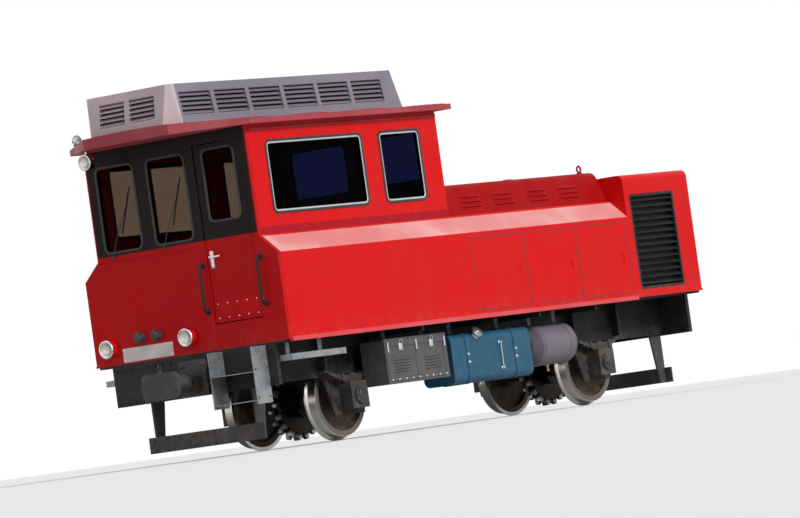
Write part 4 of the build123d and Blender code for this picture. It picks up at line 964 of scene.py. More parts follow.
@dataclass(frozen=True)
class PlainFloor(Finish):
    """The pale studio floor, which is whiter to the camera than it is to the light that it sends back."""

    seen: Point = (1.0, 1.0, 0.995)
    unseen: Point = (0.60, 0.60, 0.595)

    def fill(self, tree: Tree) -> None:
        """Choose the colour by the kind of ray.

        Args:
            tree: The material's tree.
        """
        camera_ray = tree.add("LightPath", {}, "Is Camera Ray")
        tree.set(Base_Color=tree.mix(camera_ray, self.unseen, self.seen), Roughness=0.7)
        tree.bump(tree.noise(25, 4), 0.001, 0.08)


# The workshop's finishes

RED = Paint("red_paint", (0.66, 0.004, 0.006), (0.60, 0.014, 0.014), dust_share=0.12, streak=0.05, shine=0.12)
# The side's bands are painted highlights: a pale pink one on the sloping shoulder, where the sun glints off
# it, and a lighter one along the bottom lip.
SIDE_RED_PAINTED_HIGHLIGHTS = replace(RED, name="side_red_painted_highlights", dust_share=0.10, bands=(
    Band(1.897, 2.300, (0.87, 0.48, 0.47), 0.86, 0.40), Band(0.9, 1.064, (0.72, 0.13, 0.15), 0.7, 0.3)))
CAB_RED = replace(RED, name="cab_red", dust_share=0.0, bands=(Band(1.9, 2.165, (0.30, 0.004, 0.018), 0.75),))
# The front wall's red is darker than the side's: painted shade, as the front stands out of the sun. Its band
# above the waist is black paint.
FRONT_RED_PAINTED_SHADE = replace(RED, name="front_red_painted_shade", colour=(0.55, 0.003, 0.005), faded=(0.51, 0.011, 0.011),
                    bands=(Band(2.120, 3.4, (0.016, 0.008, 0.008), 1.0, 0.0, -3.46, 1.035),))
# The hood's red is darker than the body's: painted shade, as the hood stands in shade.
HOOD_RED_PAINTED_SHADE = Paint("hood_red_painted_shade", (0.36, 0.004, 0.006), (0.34, 0.010, 0.010), dust_share=0.0, streak=0.03,
                 rough=0.5, shine=0.06)
ROOF_RED = Paint("roof_red", (0.36, 0.040, 0.055), (0.44, 0.13, 0.14), dust_share=0.0, rough=0.5)
# Its band is painted light: the housing's leaning front is paler, as it takes more light from the sky than
# the sides.
POD_GREY_PAINTED_LIGHT = Paint("roof_grey", (0.195, 0.185, 0.235), (0.27, 0.26, 0.31), dust_low=3.2, dust_high=3.7,
                 rough=0.45, bands=(Band(3.2, 3.7, (0.62, 0.49, 0.52), 0.95, 0.2, -3.855),))
BLACK = Paint("frame_black", (0.012, 0.012, 0.015), (0.03, 0.027, 0.025), dust=(0.13, 0.11, 0.09),
              dust_low=0.1, dust_high=1.3, dust_share=0.5, rough=0.5, wear=0.4)
GREY_BOX = Paint("box_grey", (0.075, 0.075, 0.085), (0.11, 0.105, 0.11), dust_low=0.3, rough=0.45)
TANK_BLUE = Paint("tank_blue", (0.010, 0.085, 0.160), (0.025, 0.11, 0.18), dust_low=0.2, dust_share=0.12,
                  streak=0.06, rough=0.4)
RESERVOIR = Paint("reservoir_grey", (0.150, 0.135, 0.180), (0.19, 0.175, 0.20), dust_low=0.3, dust_high=1.2,
                  rough=0.42)
GRILLE = Paint("grille_dark", (0.012, 0.013, 0.016), (0.03, 0.03, 0.032), rough=0.45, wear=0.3)
DESK = Paint("desk_grey", (0.12, 0.13, 0.14), (0.15, 0.155, 0.16), dust_share=0.0, rough=0.6, wear=0.2)
PLATE = Paint("blank_plate", (0.78, 0.70, 0.70), (0.70, 0.62, 0.61), dust_share=0.15, rough=0.35)
ENGINE = Cast("engine_grey", (0.13, 0.14, 0.145))
IRON = Cast("cast_black", (0.045, 0.045, 0.048))
FAN_METAL = Metal("fan_grey", (0.50, 0.50, 0.51), 0.4)
BRASS = Metal("brass", (0.62, 0.46, 0.20), 0.3)
RAIL_METAL = Metal("rail_metal", (0.62, 0.64, 0.66), 0.28)
CHROME = Metal("lamp_metal", (0.80, 0.80, 0.80), 0.12, stain=0.15)
FRAME_METAL = Metal("frame_aluminium", (0.66, 0.66, 0.68), 0.3)
FLOOR_RUBBER = Rubber("floor_rubber", ribs=9.0)
SEAL = Rubber("seal_rubber")
GLASS_PAINTED_REFLECTION_AND_SHADE = GlassWithPaintedReflectionAndShade("window_glass")
LENS = LampGlass("lamp_lens")
TREAD = Chequer("step_tread")
FINS = CoolingFins("core_dark")
CLOTH = SeatCloth("seat_black")


@dataclass
class Workshop:
    """Makes each finish once and hands it out by its recipe."""

    made: dict[str, bpy.types.Material] = field(default_factory=dict)

    def get(self, recipe: Finish) -> bpy.types.Material:
        """The material of a recipe.

        Args:
            recipe: One of the finishes.

        Returns:
            The material, built the first time that it is asked for.
        """
        if recipe.name not in self.made:
            self.made[recipe.name] = recipe.material()
        return self.made[recipe.name]


SHOP = Workshop()


class Part(Enum):
    """The bodies that new pieces ride on."""

    CHASSIS = "chassis"
    DOOR = "front_door"


def islands(node: str) -> list[tuple[Array, Array]]:
    """The boxes of a node's separate solids.

    Every point starts with its own label, and each triangle hands its lowest label to its
    corners until nothing changes.

    Args:
        node: The node's name.

    Returns:
        The lowest and highest corner of each solid, ordered along x and then y.
    """
    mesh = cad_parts[node].data
    points = np.empty(len(mesh.vertices) * 3)
    mesh.vertices.foreach_get("co", points)
    corners = np.empty(len(mesh.loops), int)
    mesh.loops.foreach_get("vertex_index", corners)
    merged, number = np.unique(points.reshape(-1, 3).round(5), axis=0, return_inverse=True)
    triangles = number.reshape(-1)[corners].reshape(-1, 3)
    label = np.arange(len(merged))
    while True:
        spread = label.copy()
        np.minimum.at(spread, triangles, label[triangles].min(1)[:, None])
        if (spread == label).all():
            break
        label = spread
    boxes = [(merged[label == k].min(0), merged[label == k].max(0)) for k in np.unique(label)]
    return sorted(boxes, key=lambda box: (round(box[0][0], 2), round(box[0][1], 2)))


def make_piece(name: str, shells: list[Shell], recipe: Finish, part: Part = Part.CHASSIS,
               smooth: float = 35.0) -> bpy.types.Object:
    """Put shells into a mesh object that rides on a body.

    Args:
        name: The piece's name.
        shells: Its surfaces.
        recipe: Its finish.
        part: The body that it moves with.
        smooth: Faces that meet at less than this angle in degrees are shaded as one.

    Returns:
        The new object.
    """
    shape = joined(shells)
    mesh = bpy.data.meshes.new(name)
    mesh.from_pydata(shape.points.tolist(), [], shape.faces)
    mesh.validate()
    mesh.polygons.foreach_set("use_smooth", np.ones(len(mesh.polygons), bool))
    mesh.update()
    mesh.set_sharp_from_angle(angle=np.radians(smooth))
    piece = bpy.data.objects.new(name, mesh)
    bpy.context.scene.collection.objects.link(piece)
    mesh.materials.append(SHOP.get(recipe))
    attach(piece, part.value)
    log.info("made %s with %d faces", name, len(mesh.polygons))
    return piece


def dress(recipe: Finish, nodes: str) -> None:
    """Give carried-over nodes a finish.

    Args:
        recipe: The finish.
        nodes: The nodes' names with spaces between them.
    """
    material = SHOP.get(recipe)
    for name in nodes.split():
        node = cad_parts[name]
        if not node.material_slots:
            node.data.materials.append(material)
        for place in node.material_slots:
            place.material = material
        log.info("dressed %s in %s", name, material.name)


class Assembly:
    """A group of pieces: the finishes of its carried-over nodes, and methods that build new pieces."""

    finishes: ClassVar[dict[Finish, str]] = {}

    def run(self) -> None:
        """Dress the nodes and call the build methods in the order that the class gives them in."""
        for recipe, nodes in self.finishes.items():
            dress(recipe, nodes)
        for name, method in vars(type(self)).items():
            if name.startswith("build_"):
                method(self)


@dataclass
class RunningGear(Assembly):
    """Wheelsets, rack pinions, axle boxes and springs."""

    finishes: ClassVar = {IRON: "axle_boxes_front axle_boxes_rear"}
    axle_z: float = 0.428
    spring_bend: float = 1.3555
    box_top: float = 0.563
    cover_radius: float = 0.066
    cover_bolts: int = 6
    clip_gap: float = 0.16
    clip_low: float = 0.010
    clip_high: float = 0.078

    def build_finishes(self) -> None:
        """Give each wheelset, pinion and pair of springs a finish about its own axis."""
        for end in ENDS:
            low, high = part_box("wheelset_" + end)
            axle_x = (low.x + high.x) / 2
            dress(WheelSteel("wheel_steel_" + end, axle_x, self.axle_z), "wheelset_" + end)
            dress(PinionSteel("pinion_steel_" + end, axle_x, self.axle_z), "rack_pinion_" + end)
            bend_z = self.box_top + self.spring_bend
            dress(LeafSteel("spring_steel_" + end, axle_x, bend_z), "leaf_springs_" + end)

    def build_box_details(self) -> None:
        """Bolts and a stepped cap on each axle box cover."""
        for end in ENDS:
            caps, heads = [], []
            for low, high in islands("axle_boxes_" + end):
                way = (0, np.sign(low[1]), 0)
                middle = np.array([(low[0] + high[0]) / 2, low[1] if low[1] < 0 else high[1], self.axle_z])
                heads.append(bolts(22, 12, middle + hoop(self.cover_radius, 1, self.cover_bolts), way))
                caps.append(Turning.BOX_CAP.at(middle, way))
            make_piece("axle_box_caps_" + end, caps, IRON)
            make_piece("axle_box_bolts_" + end, heads, IRON)

    def build_spring_clips(self) -> None:
        """Two bent straps round each spring's leaves and a nut above each."""
        rise = self.box_top + self.spring_bend - np.sqrt(self.spring_bend ** 2 - self.clip_gap ** 2)
        z0, z1 = rise + self.clip_low, rise + self.clip_high
        for end in ENDS:
            clips, nuts = [], []
            for low, high in islands("leaf_springs_" + end):
                y0, y1 = low[1] - 0.004, high[1] + 0.004
                for x in (low[0] + high[0]) / 2 + np.array([-1, 1]) * self.clip_gap:
                    path = softened([(x, y0, z1), (x, y0, z0), (x, y1, z0), (x, y1, z1), (x, y0, z1)], 0.006)
                    clips.append(strip(path[:-1], (6, 34, 2, 3), ALONG_X, True))
                    nuts.append(bolts(22, 12, (x, (y0 + y1) / 2, z1 + 0.002), UP))
            make_piece("spring_clips_" + end, clips, IRON)
            make_piece("spring_nuts_" + end, nuts, IRON)


@dataclass
class Underframe(Assembly):
    """Frame plates, beams, buffers, tanks, boxes and steps."""

    finishes: ClassVar = {
        BLACK: "frame_plate_left frame_plate_right end_beams deck",
        IRON: "centre_buffer_front centre_buffer_rear rail_guard_front rail_guard_rear",
        GREY_BOX: "battery_box",
        TANK_BLUE: "fuel_tank",
        RESERVOIR: "air_reservoir",
        TREAD: "entrance_step side_steps",
    }
    plate_y: float = 0.690
    plate_end: float = 3.36
    plate_rows: tuple[float, float] = (0.975, 0.695)
    beam_x: float = 3.500
    beam_half: float = 1.00
    beam_rows: tuple[float, float] = (0.66, 0.98)
    buffer_gap: float = 0.22
    step_gap: tuple[float, float] = (-0.97, -0.36)
    buffer_z: float = 0.76
    foot_y: tuple[float, float] = (-0.135, 0.135)
    foot_z: tuple[float, float] = (0.67, 0.93)
    pin_rise: float = 0.130
    ring_rise: float = 0.182
    shank: float = 0.075
    face_x: float = 4.05
    box_top: float = 0.93
    lid_foot: tuple[float, float] = (0.50, 0.535)
    lid_post: tuple[float, float] = (0.54, 0.84)
    lid_head: tuple[float, float] = (0.845, 0.915)
    lid_margin: float = 0.02
    lid_screws: float = 0.517
    hinge_drop: float = 0.135
    latch_in: float = 0.25
    latch_z: tuple[float, float] = (0.80, 0.88)
    slots_z: tuple[float, float] = (0.60, 0.72)
    tank_top: float = 0.89
    tank_corner: float = 0.07
    strap_gap: float = 0.004
    strap_shares: tuple[float, float] = (0.2, 0.8)
    band_half: float = 0.03
    bead_in: float = 0.085
    guard_x: float = 3.45
    guard_half: float = 0.68
    guard_rows: tuple[float, float] = (0.15, 0.25)
    cheek_y: float = -0.94
    cheek_x: tuple[float, float] = (-3.70, -3.53)
    cheek_z: tuple[float, float] = (0.52, 0.80)

    def build_rivets(self) -> None:
        """Rivet rows along the frame plates, and bolts along the end beams clear of buffer and step."""
        heads, beam_heads = [], []
        for sign in (-1, 1):
            for z in self.plate_rows:
                y = sign * self.plate_y
                line = row_of((-self.plate_end, y, z), (self.plate_end, y, z), 57)
                heads.append(scattered(rivet(0.012), line, (0, sign, 0)))
            for z in self.beam_rows:
                x = sign * self.beam_x
                line = row_of((x, -self.beam_half, z), (x, self.beam_half, z), 21)
                clear = np.abs(line[:, 1]) > self.buffer_gap
                if sign < 0:
                    clear &= (line[:, 1] < self.step_gap[0]) | (line[:, 1] > self.step_gap[1])
                beam_heads.append(bolts(28, 14, line[clear], (sign, 0, 0)))
        make_piece("frame_rivets", heads, BLACK)
        make_piece("beam_bolts", beam_heads, BLACK)

    def build_buffers(self) -> None:
        """Foot bolts, a rubber collar on the shank and a pin behind the head of each buffer."""
        feet, collars, pins = [], [], []
        wave = np.linspace(0, 1, 33)
        radius = self.shank + 0.012 + 0.012 * np.sin(wave * 8 * np.pi)
        collar = turned([(self.shank, 0.17), *zip(radius, 0.17 + wave * 0.20), (self.shank, 0.37)])
        ring = tube(hoop(0.022, 1), 0.004, 8, closed=True)
        for sign in (-1, 1):
            x, way = sign * (self.face_x - 0.030), (sign, 0, 0)
            foot = [(sign * (self.beam_x + 0.030), y, z) for y in self.foot_y for z in self.foot_z]
            feet.append(bolts(40, 20, foot, way))
            collars.append(scattered(collar, (sign * self.beam_x, 0, self.buffer_z), way))
            pins.append(Turning.BUFFER_PIN.at((x, 0, self.buffer_z + self.pin_rise)))
            pins.append(ring.shifted(x, 0, self.buffer_z + self.ring_rise))
        make_piece("buffer_foot_bolts", feet, IRON)
        make_piece("buffer_collars", collars, SEAL)
        make_piece("buffer_pins", pins, IRON)

    def build_battery_box(self) -> None:
        """A lid frame, hinges, latches, vents and bolts on the battery box."""
        low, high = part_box("battery_box")
        sheet, metal, vents = [], [], []

        def panel(x: tuple[float, float], z: tuple[float, float], proud: float, radius: float) -> Shell:
            """A panel on the box's face."""
            return wall_panel((x[0], low.y, z[0]), (x[1], low.y, z[1]), LEFT, proud, radius)

        across, slot = (low.x + self.lid_margin, high.x - self.lid_margin), vent(0.30, 0.016, 0.012)
        sheet.append(panel(across, self.lid_foot, 0.006, 0.008))
        sheet.append(panel(across, self.lid_head, 0.008, 0.010))
        for x in (low.x + 0.04, high.x - 0.04, (low.x + high.x) / 2):
            sheet.append(panel((x - 0.02, x + 0.02), self.lid_post, 0.005, 0.008))
            metal.append(Turning.LID_HINGE.at((x, low.y - 0.010, self.box_top - self.hinge_drop)))
        for x in (low.x + self.latch_in, high.x - self.latch_in):
            metal.append(panel((x - 0.03, x + 0.03), self.latch_z, 0.014, 0.012))
            feet = [(x + way * 0.02, low.y - 0.016, self.latch_z[1]) for way in (-1, 1)]
            metal.append(bow(feet, (0, -0.006, 0.03), 0.008, 0.004, 8, (0, 1, 0.01)))
            for z in np.linspace(*self.slots_z, 5):
                vents.append(slot.placed(facing(LEFT), (x, low.y, z)))
        ends = [(x, low.y - 0.006, self.lid_screws) for x in (low.x + 0.06, high.x - 0.06)]
        metal.append(bolts(18, 8, row_of(*ends, 9), LEFT))
        make_piece("battery_box_lid", sheet, GREY_BOX)
        make_piece("battery_box_fittings", metal, RAIL_METAL)
        make_piece("battery_box_vents", vents, GREY_BOX)

    def build_tank(self) -> None:
        """Two straps, a filler with its cap, a gauge glass and a drain plug on the fuel tank."""
        low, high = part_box("fuel_tank")
        x, y, gap = (low.x + high.x) / 2, (low.y + high.y) / 2, self.strap_gap
        straps, fittings = [], []
        size = high.y - low.y + 2 * gap, self.tank_top - low.z + 2 * gap
        ring = np.insert(rounded_outline(*size, self.tank_corner + gap, 8), 0, 0.0, axis=1)
        for share in self.strap_shares:
            strap_x = low.x + (high.x - low.x) * share
            path = ring + (strap_x, y, (low.z + self.tank_top) / 2)
            straps.append(strip(path, (7, 55, 3, 3), ALONG_X, True))
            fittings.append(bolts(26, 14, [(strap_x, low.y - gap - 0.003, z) for z in (0.60, 0.68)], LEFT))
        fittings.append(Turning.FILLER.at((x - 0.22, low.y + 0.022, self.tank_top - 0.022), (0, -0.8, 0.6)))
        fittings.append(Turning.GAUGE_END.at([(x + 0.14, low.y, z) for z in (0.50, 0.76)], LEFT))
        fittings.append(Turning.GAUGE_TUBE.at((x + 0.14, low.y - 0.022, 0)))
        fittings.append(Turning.DRAIN_PLUG.at((x, y, low.z), DOWN))
        make_piece("tank_straps", straps, TANK_BLUE)
        make_piece("tank_fittings", fittings, RAIL_METAL)

    def build_reservoir(self) -> None:
        """Bands, weld beads, end bosses and a drain cock on the air reservoir."""
        low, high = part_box("air_reservoir")
        x, y, radius = (low.x + high.x) / 2, (low.y + high.y) / 2, (high.y - low.y) / 2
        z = low.z + radius
        half = self.band_half
        edge = (-0.002, -half), (0.004, -half), (0.004, half), (-0.002, half)
        band = turned([(radius + proud, height) for proud, height in edge], 64)
        places = [(low.x + (high.x - low.x) * share, y, z) for share in self.strap_shares]
        bands = [scattered(band, places, ALONG_X)]
        for bead_x in (low.x + self.bead_in, high.x - self.bead_in):
            bands.append(tube(hoop(radius, 0), 0.004, 6, ALONG_X, True).shifted(bead_x, y, z))
        brass = [Turning.END_BOSS.at((end, y, z), (way, 0, 0)) for end, way in ((low.x, -1), (high.x, 1))]
        brass.append(Turning.DRAIN_COCK.at((x, y, low.z), DOWN))
        make_piece("reservoir_bands", bands, RESERVOIR)
        make_piece("reservoir_fittings", brass, BRASS)

    def build_guard_bolts(self) -> None:
        """Bolts on the rail guards and on the step cheeks."""
        heads = []
        across = np.linspace(-self.guard_half, self.guard_half, 9)
        for sign in (-1, 1):
            places = [(sign * self.guard_x, y, z) for y in across for z in self.guard_rows]
            heads.append(bolts(24, 12, places, (sign, 0, 0)))
        heads.append(bolts(18, 8, [(x, self.cheek_y, z) for x in self.cheek_x for z in self.cheek_z], LEFT))
        make_piece("guard_bolts", heads, IRON)


@dataclass
class Body(Assembly):
    """The low sides, the hood and the radiator end."""

    finishes: ClassVar = {
        SIDE_RED_PAINTED_HIGHLIGHTS: "body_side_left body_side_right",
        RED: "radiator_housing",
        HOOD_RED_PAINTED_SHADE: "hood",
        GRILLE: "radiator_grille_left radiator_grille_right fan_guard",
        FINS: "radiator_cores",
        FAN_METAL: "radiator_fan",
        IRON: "fan_carrier",
        ENGINE: "engine_block",
    }
    side_y: float = 1.250
    hood_low: float = 2.080
    hood_high: float = 2.420
    hood_foot: float = 1.020
    hood_half: float = 0.900
    rear_x: float = 3.500
    doors: tuple[float, ...] = (-0.42, 0.48, 1.38, 2.28)
    door_z: tuple[float, float] = (1.10, 1.84)
    hinge_z: tuple[float, float] = (1.24, 1.70)
    bead_y: float = 1.052
    bead_x: tuple[float, float] = (-3.43, 2.325)
    screw_x: tuple[float, float] = (-3.38, 2.27)
    screw_z: float = 1.055
    louvre_x: tuple[float, ...] = (0.05, 0.60, 1.20, 1.75)
    louvre_rows: tuple[float, ...] = (0.30, 0.45, 0.60)
    hatches: tuple[tuple[float, float], ...] = ((-0.30, 0.85), (0.95, 2.15))
    hatch_width: float = 1.30
    handle_half: float = 0.09
    eye_x: tuple[float, float] = (-0.36, 2.24)
    eye_y: tuple[float, float] = (-0.78, 0.78)
    grille_x: tuple[float, float] = (2.425, 3.195)
    grille_z: tuple[float, float] = (1.135, 2.115)
    fan: Point = (2.915, 0, 2.340)
    fan_ring: float = 0.435
    rail_y: float = 1.08
    rail_z: tuple[float, float] = (1.55, 2.10)
    panel: tuple[float, float] = (1.50, 1.10)
    panel_z: float = 1.62

    def build_side_doors(self) -> None:
        """Three engine doors on each side, each with its joint, hinges and a turning handle."""
        z0, z1 = self.door_z
        for name, sign in SIDES.items():
            y, way = sign * self.side_y, (0, sign, 0)
            joints, hinges, handles = [], [], []
            for x0, x1 in zip(self.doors[:-1], self.doors[1:]):
                flat = rounded_outline(x1 - x0 - 0.024, z1 - z0, 0.03)
                path = on_wall(flat, way, ((x0 + x1) / 2, y, (z0 + z1) / 2))
                joints.append(strip(path, (7, 3, 1, 2), way, True))
                for z in self.hinge_z:
                    low, high = (x0 - 0.010, y, z - 0.03), (x0 + 0.034, y, z + 0.03)
                    hinges.append(Turning.KNUCKLE.at((x0 + 0.012, y - sign * 0.002, z)))
                    hinges.append(wall_panel(low, high, way, 0.002, 0.004))
                low, high = (x1 - 0.107, y + sign * 0.002, 1.44), (x1 - 0.093, y + sign * 0.009, 1.53)
                handles.append(wall_panel((x1 - 0.13, y, 1.42), (x1 - 0.07, y, 1.54), way, 0.003, 0.010))
                handles.append(block(low, high))
            make_piece("side_door_joints_" + name, joints, SEAL)
            make_piece("side_door_hinges_" + name, hinges, RED)
            make_piece("side_door_handles_" + name, handles, RED)

    def build_shoulder_trim(self) -> None:
        """A bead along the upper edge of each shoulder and a row of screws low on each side."""
        for name, sign in SIDES.items():
            ends = [(x, sign * self.bead_y, self.hood_low) for x in self.bead_x]
            bead = tube(row_of(*ends), 0.010, 12, UP)
            ends = [(x, sign * self.side_y, self.screw_z) for x in self.screw_x]
            heads = Turning.SCREW.at(row_of(*ends, 48), (0, sign, 0))
            make_piece("shoulder_bead_" + name, [bead], RED)
            make_piece("side_screws_" + name, [heads], RED)

    def build_hood_louvres(self) -> None:
        """Pressed louvres in rows on the hood's sloping sides and two hatches on its top."""
        lean, rise = self.hood_foot - self.hood_half, self.hood_high - self.hood_low
        louvre = vent(0.36, 0.030, 0.016)
        louvres, seams, handles = [], [], []
        for sign in (-1, 1):
            axes = facing((0, sign * rise, lean))
            for x in self.louvre_x:
                for share in self.louvre_rows:
                    place = (x, sign * (self.hood_foot - lean * share), self.hood_low + rise * share)
                    louvres.append(louvre.placed(axes, place))
        for x0, x1 in self.hatches:
            middle = (x0 + x1) / 2
            flat = rounded_outline(x1 - x0, self.hatch_width, 0.05)
            path = np.insert(flat, 2, self.hood_high, axis=1) + (middle, 0, 0)
            seams.append(strip(path, (12, 8, 2, 2), UP, True))
            for y in (-0.35, 0.35):
                feet = [(middle + way * self.handle_half, y, self.hood_high) for way in (-1, 1)]
                handles.append(bow(np.array(feet) - (0, 0, 0.005), (0, 0, 0.040), 0.022, 0.007, 10))
                handles.append(Turning.HANDLE_FOOT.at(feet))
        make_piece("hood_louvres", louvres, HOOD_RED_PAINTED_SHADE)
        make_piece("hood_hatch_seams", seams, SEAL)
        make_piece("hood_hatch_handles", handles, RAIL_METAL)

    def build_lifting_eyes(self) -> None:
        """An upright ring on a foot at each corner of the hood's top."""
        eyes = []
        ring = tube(hoop(0.032, 1), 0.010, 12, closed=True)
        for x in self.eye_x:
            for y in self.eye_y:
                eyes.append(ring.shifted(x, y, self.hood_high + 0.048))
                eyes.append(Turning.EYE_FOOT.at((x, y, self.hood_high)))
        make_piece("lifting_eyes", eyes, HOOD_RED_PAINTED_SHADE)

    def build_radiator_end(self) -> None:
        """Bolts round the grilles and the fan guard, corner rails and a panel's joint on the end wall."""
        screws, tubes, feet = [], [], []
        across, up = np.linspace(*self.grille_x, 6), np.linspace(1.30, 1.95, 5)
        for sign in (-1, 1):
            y = sign * self.side_y
            places = [(x, y, z) for x in across for z in self.grille_z]
            places += [(x, y, z) for x in self.grille_x for z in up]
            screws.append(Turning.GRILLE_SCREW.at(places, (0, sign, 0)))
            ends = [(self.rear_x, sign * self.rail_y, z) for z in self.rail_z]
            tubes.append(bow(ends, (0.06, 0, 0), 0.03, 0.013, 14))
            feet.append(Turning.CORNER_RAIL_FOOT.at(ends, ALONG_X))
        screws.append(bolts(18, 8, hoop(self.fan_ring, 2, 16) + self.fan, UP))
        path = on_wall(rounded_outline(*self.panel, 0.05), ALONG_X, (self.rear_x, 0, self.panel_z))
        make_piece("radiator_screws", screws, RED)
        make_piece("rear_corner_rails", tubes + feet, BLACK)
        make_piece("rear_panel_joint", [strip(path, (10, 6, 2, 2), ALONG_X, True)], SEAL)


@dataclass
class Cab(Assembly):
    """The cab's walls, windows, door, roof sheet and what stands inside."""

    finishes: ClassVar = {
        FRONT_RED_PAINTED_SHADE: "cab_front_wall cab_door",
        CAB_RED: "cab_rear_wall cab_side_left cab_side_right",
        ROOF_RED: "cab_roof",
        FLOOR_RUBBER: "cab_floor",
        DESK: "driver_desk",
        GLASS_PAINTED_REFLECTION_AND_SHADE: "cab_glass door_glass",
    }
    front_x: float = -3.500
    door_x: float = -3.490
    door_thick: float = 0.040
    rear_x: float = -0.450
    side_y: float = 1.050
    wall: float = 0.050
    corner: float = 0.060
    handle: tuple[float, float] = (-0.415, 1.95)
    rail_y: tuple[float, float] = (-1.03, -0.29)
    rail_z: tuple[float, float] = (1.42, 1.88)
    plate_y: tuple[float, float] = (0.225, 0.885)
    plate_z: tuple[float, float] = (1.055, 1.195)
    kick_y: tuple[float, float] = (-0.93, -0.39)
    kick_z: tuple[float, float] = (1.33, 1.50)
    bead_z: float = 2.082
    seam_z: float = 1.36
    sockets_y: tuple[float, float] = (0.40, 0.62)
    socket_z: float = 1.275
    gutter_x: tuple[float, float] = (-3.44, -0.46)
    gutter_z: float = 3.125
    wiper_pivot: tuple[float, float] = (-0.10, -0.045)
    wiper_tip: tuple[float, float] = (0.16, 0.42)
    desk_edge: tuple[float, float] = (-3.09, 2.03)
    lever_y: tuple[float, float] = (-0.15, 0.72)
    button_y: tuple[float, float] = (0.46, 0.76)
    screen: Point = (-3.33, 0.28, 2.165)
    gauges: tuple[tuple[float, float], ...] = (
        (-0.16, 0.042), (-0.05, 0.042), (0.07, 0.055), (0.21, 0.055), (0.34, 0.042))
    roof_joints: tuple[float, ...] = (-3.30, -2.35, -1.40, -0.42)
    roof_edge: float = 3.225
    roof_rise: float = 0.060
    roof_half: float = 1.180
    joint_span: tuple[float, float] = (1.165, 0.62)
    pan_z: tuple[float, float] = (1.700, 1.722)
    seat_z: float = 1.768
    back_z: float = 2.054
    plate_low: float = 1.712
    plate_top: float = 2.20
    pad_fill: float = 0.7

    def window_rings(self, node: str, x: float, wall: float) -> dict[str, list[Shell]]:
        """Rubber seals on both faces of the wall round each pane, and a metal frame round the side panes.

        Args:
            node: The node that holds the panes.
            x: The outer face of the wall in front.
            wall: That wall's thickness.

        Returns:
            The seals and the metal frames.
        """
        seals, frames = [], []
        seal = rounded_outline(0.026, 0.014, 0.005, 4) + (-0.001, 0.001)
        metal = rounded_outline(0.022, 0.008, 0.003, 4) + (0.018, -0.002)
        for low, high in islands(node):
            middle, span = (low + high) / 2, high - low
            thin = int(np.argmin(span[:2]))
            if thin:
                outer, depth = np.sign(middle[1]) * self.side_y, self.wall
            else:
                outer, depth = (x, wall) if middle[0] < -2 else (self.rear_x, self.wall)
            for inwards in (0, 1):
                sign = np.sign(outer) if thin or outer < -2 else 1.0
                way = np.eye(3)[thin] * sign * (1 - 2 * inwards)
                middle[thin] = outer - sign * depth * inwards
                ring = on_wall(rounded_outline(span[1 - thin], span[2], self.corner, 8), way, middle)
                seals.append(carried(seal, ring, way, True))
                if thin and not inwards:
                    frames.append(carried(metal, ring, way, True))
        return {"seals": seals, "frames": frames}

    def build_windows(self) -> None:
        """Seals and frames of the fixed panes and of the door's pane."""
        fixed = self.window_rings("cab_glass", self.front_x, self.wall)
        make_piece("window_seals", fixed["seals"], SEAL)
        make_piece("window_frames", fixed["frames"], FRAME_METAL)
        door = self.window_rings("door_glass", self.door_x, self.door_thick)
        make_piece("door_window_seals", door["seals"], SEAL, Part.DOOR)

    def build_wipers(self) -> None:
        """A wiper on each windscreen: a shaft, an arm, a holder and a thin blade against the glass."""
        shells = []
        along = np.array([0, -0.35, 0.94])
        for low, high in islands("cab_glass"):
            if low[0] > -3.3:
                continue
            pivot = np.array([self.front_x, high[1] + self.wiper_pivot[0], low[2] + self.wiper_pivot[1]])
            tip = np.array([self.front_x - 0.004, low[1] + self.wiper_tip[0], low[2] + self.wiper_tip[1]])
            shells.append(Turning.WIPER_SHAFT.at(pivot, FORE))
            arm = softened([pivot + (-0.020, 0, 0), (pivot + tip) / 2 + (-0.030, 0, 0), tip], 0.10)
            shells.append(strip(arm, (10, 6, 2, 3), ALONG_X))
            for size, x, down, up in (((8, 16, 2, 3), 0.016, 0.26, 0.22), ((6, 8, 2, 3), 0.004, 0.20, 0.16)):
                line = row_of(tip - along * down + (x, 0, 0), tip + along * up + (x, 0, 0))
                shells.append(strip(line, size, ALONG_X))
        make_piece("wipers", shells, SEAL)

    def build_door_fittings(self) -> None:
        """A lever handle, its plate and a lock on each face of the front door, and a screwed kick plate."""
        y, z = self.handle
        metal, plates = [], []
        for way, x in ((-1, self.door_x), (1, self.door_x + self.door_thick)):
            out = (way, 0, 0)
            plates.append(wall_panel((x, y - 0.022, z - 0.11), (x, y + 0.022, z + 0.06), out, 0.004, 0.012))
            metal.append(Turning.HANDLE_NECK.at((x, y, z), out))
            far, tip = x + way * 0.036, x + way * 0.030
            lever = softened([(far, y + 0.008, z), (far, y - 0.09, z), (tip, y - 0.12, z)], 0.02)
            metal.append(strip(lever, (18, 10, 4, 4), ALONG_X))
            metal.append(Turning.DOOR_LOCK.at((x, y, z - 0.075), out))
        (y0, y1), (z0, z1) = self.kick_y, self.kick_z
        kick = wall_panel((self.door_x, y0, z0), (self.door_x, y1, z1), FORE, 0.003, 0.010)
        across, up = np.linspace(y0 + 0.02, y1 - 0.02, 5), (z0 + 0.015, z1 - 0.015)
        screws = [(self.door_x - 0.003, a, b) for a in across for b in up]
        metal.append(Turning.PLATE_SCREW.at(screws, FORE))
        make_piece("door_handle", metal, CHROME, Part.DOOR)
        make_piece("door_plates", plates, RAIL_METAL, Part.DOOR)
        make_piece("door_kick_plate", [kick], FRONT_RED_PAINTED_SHADE, Part.DOOR)

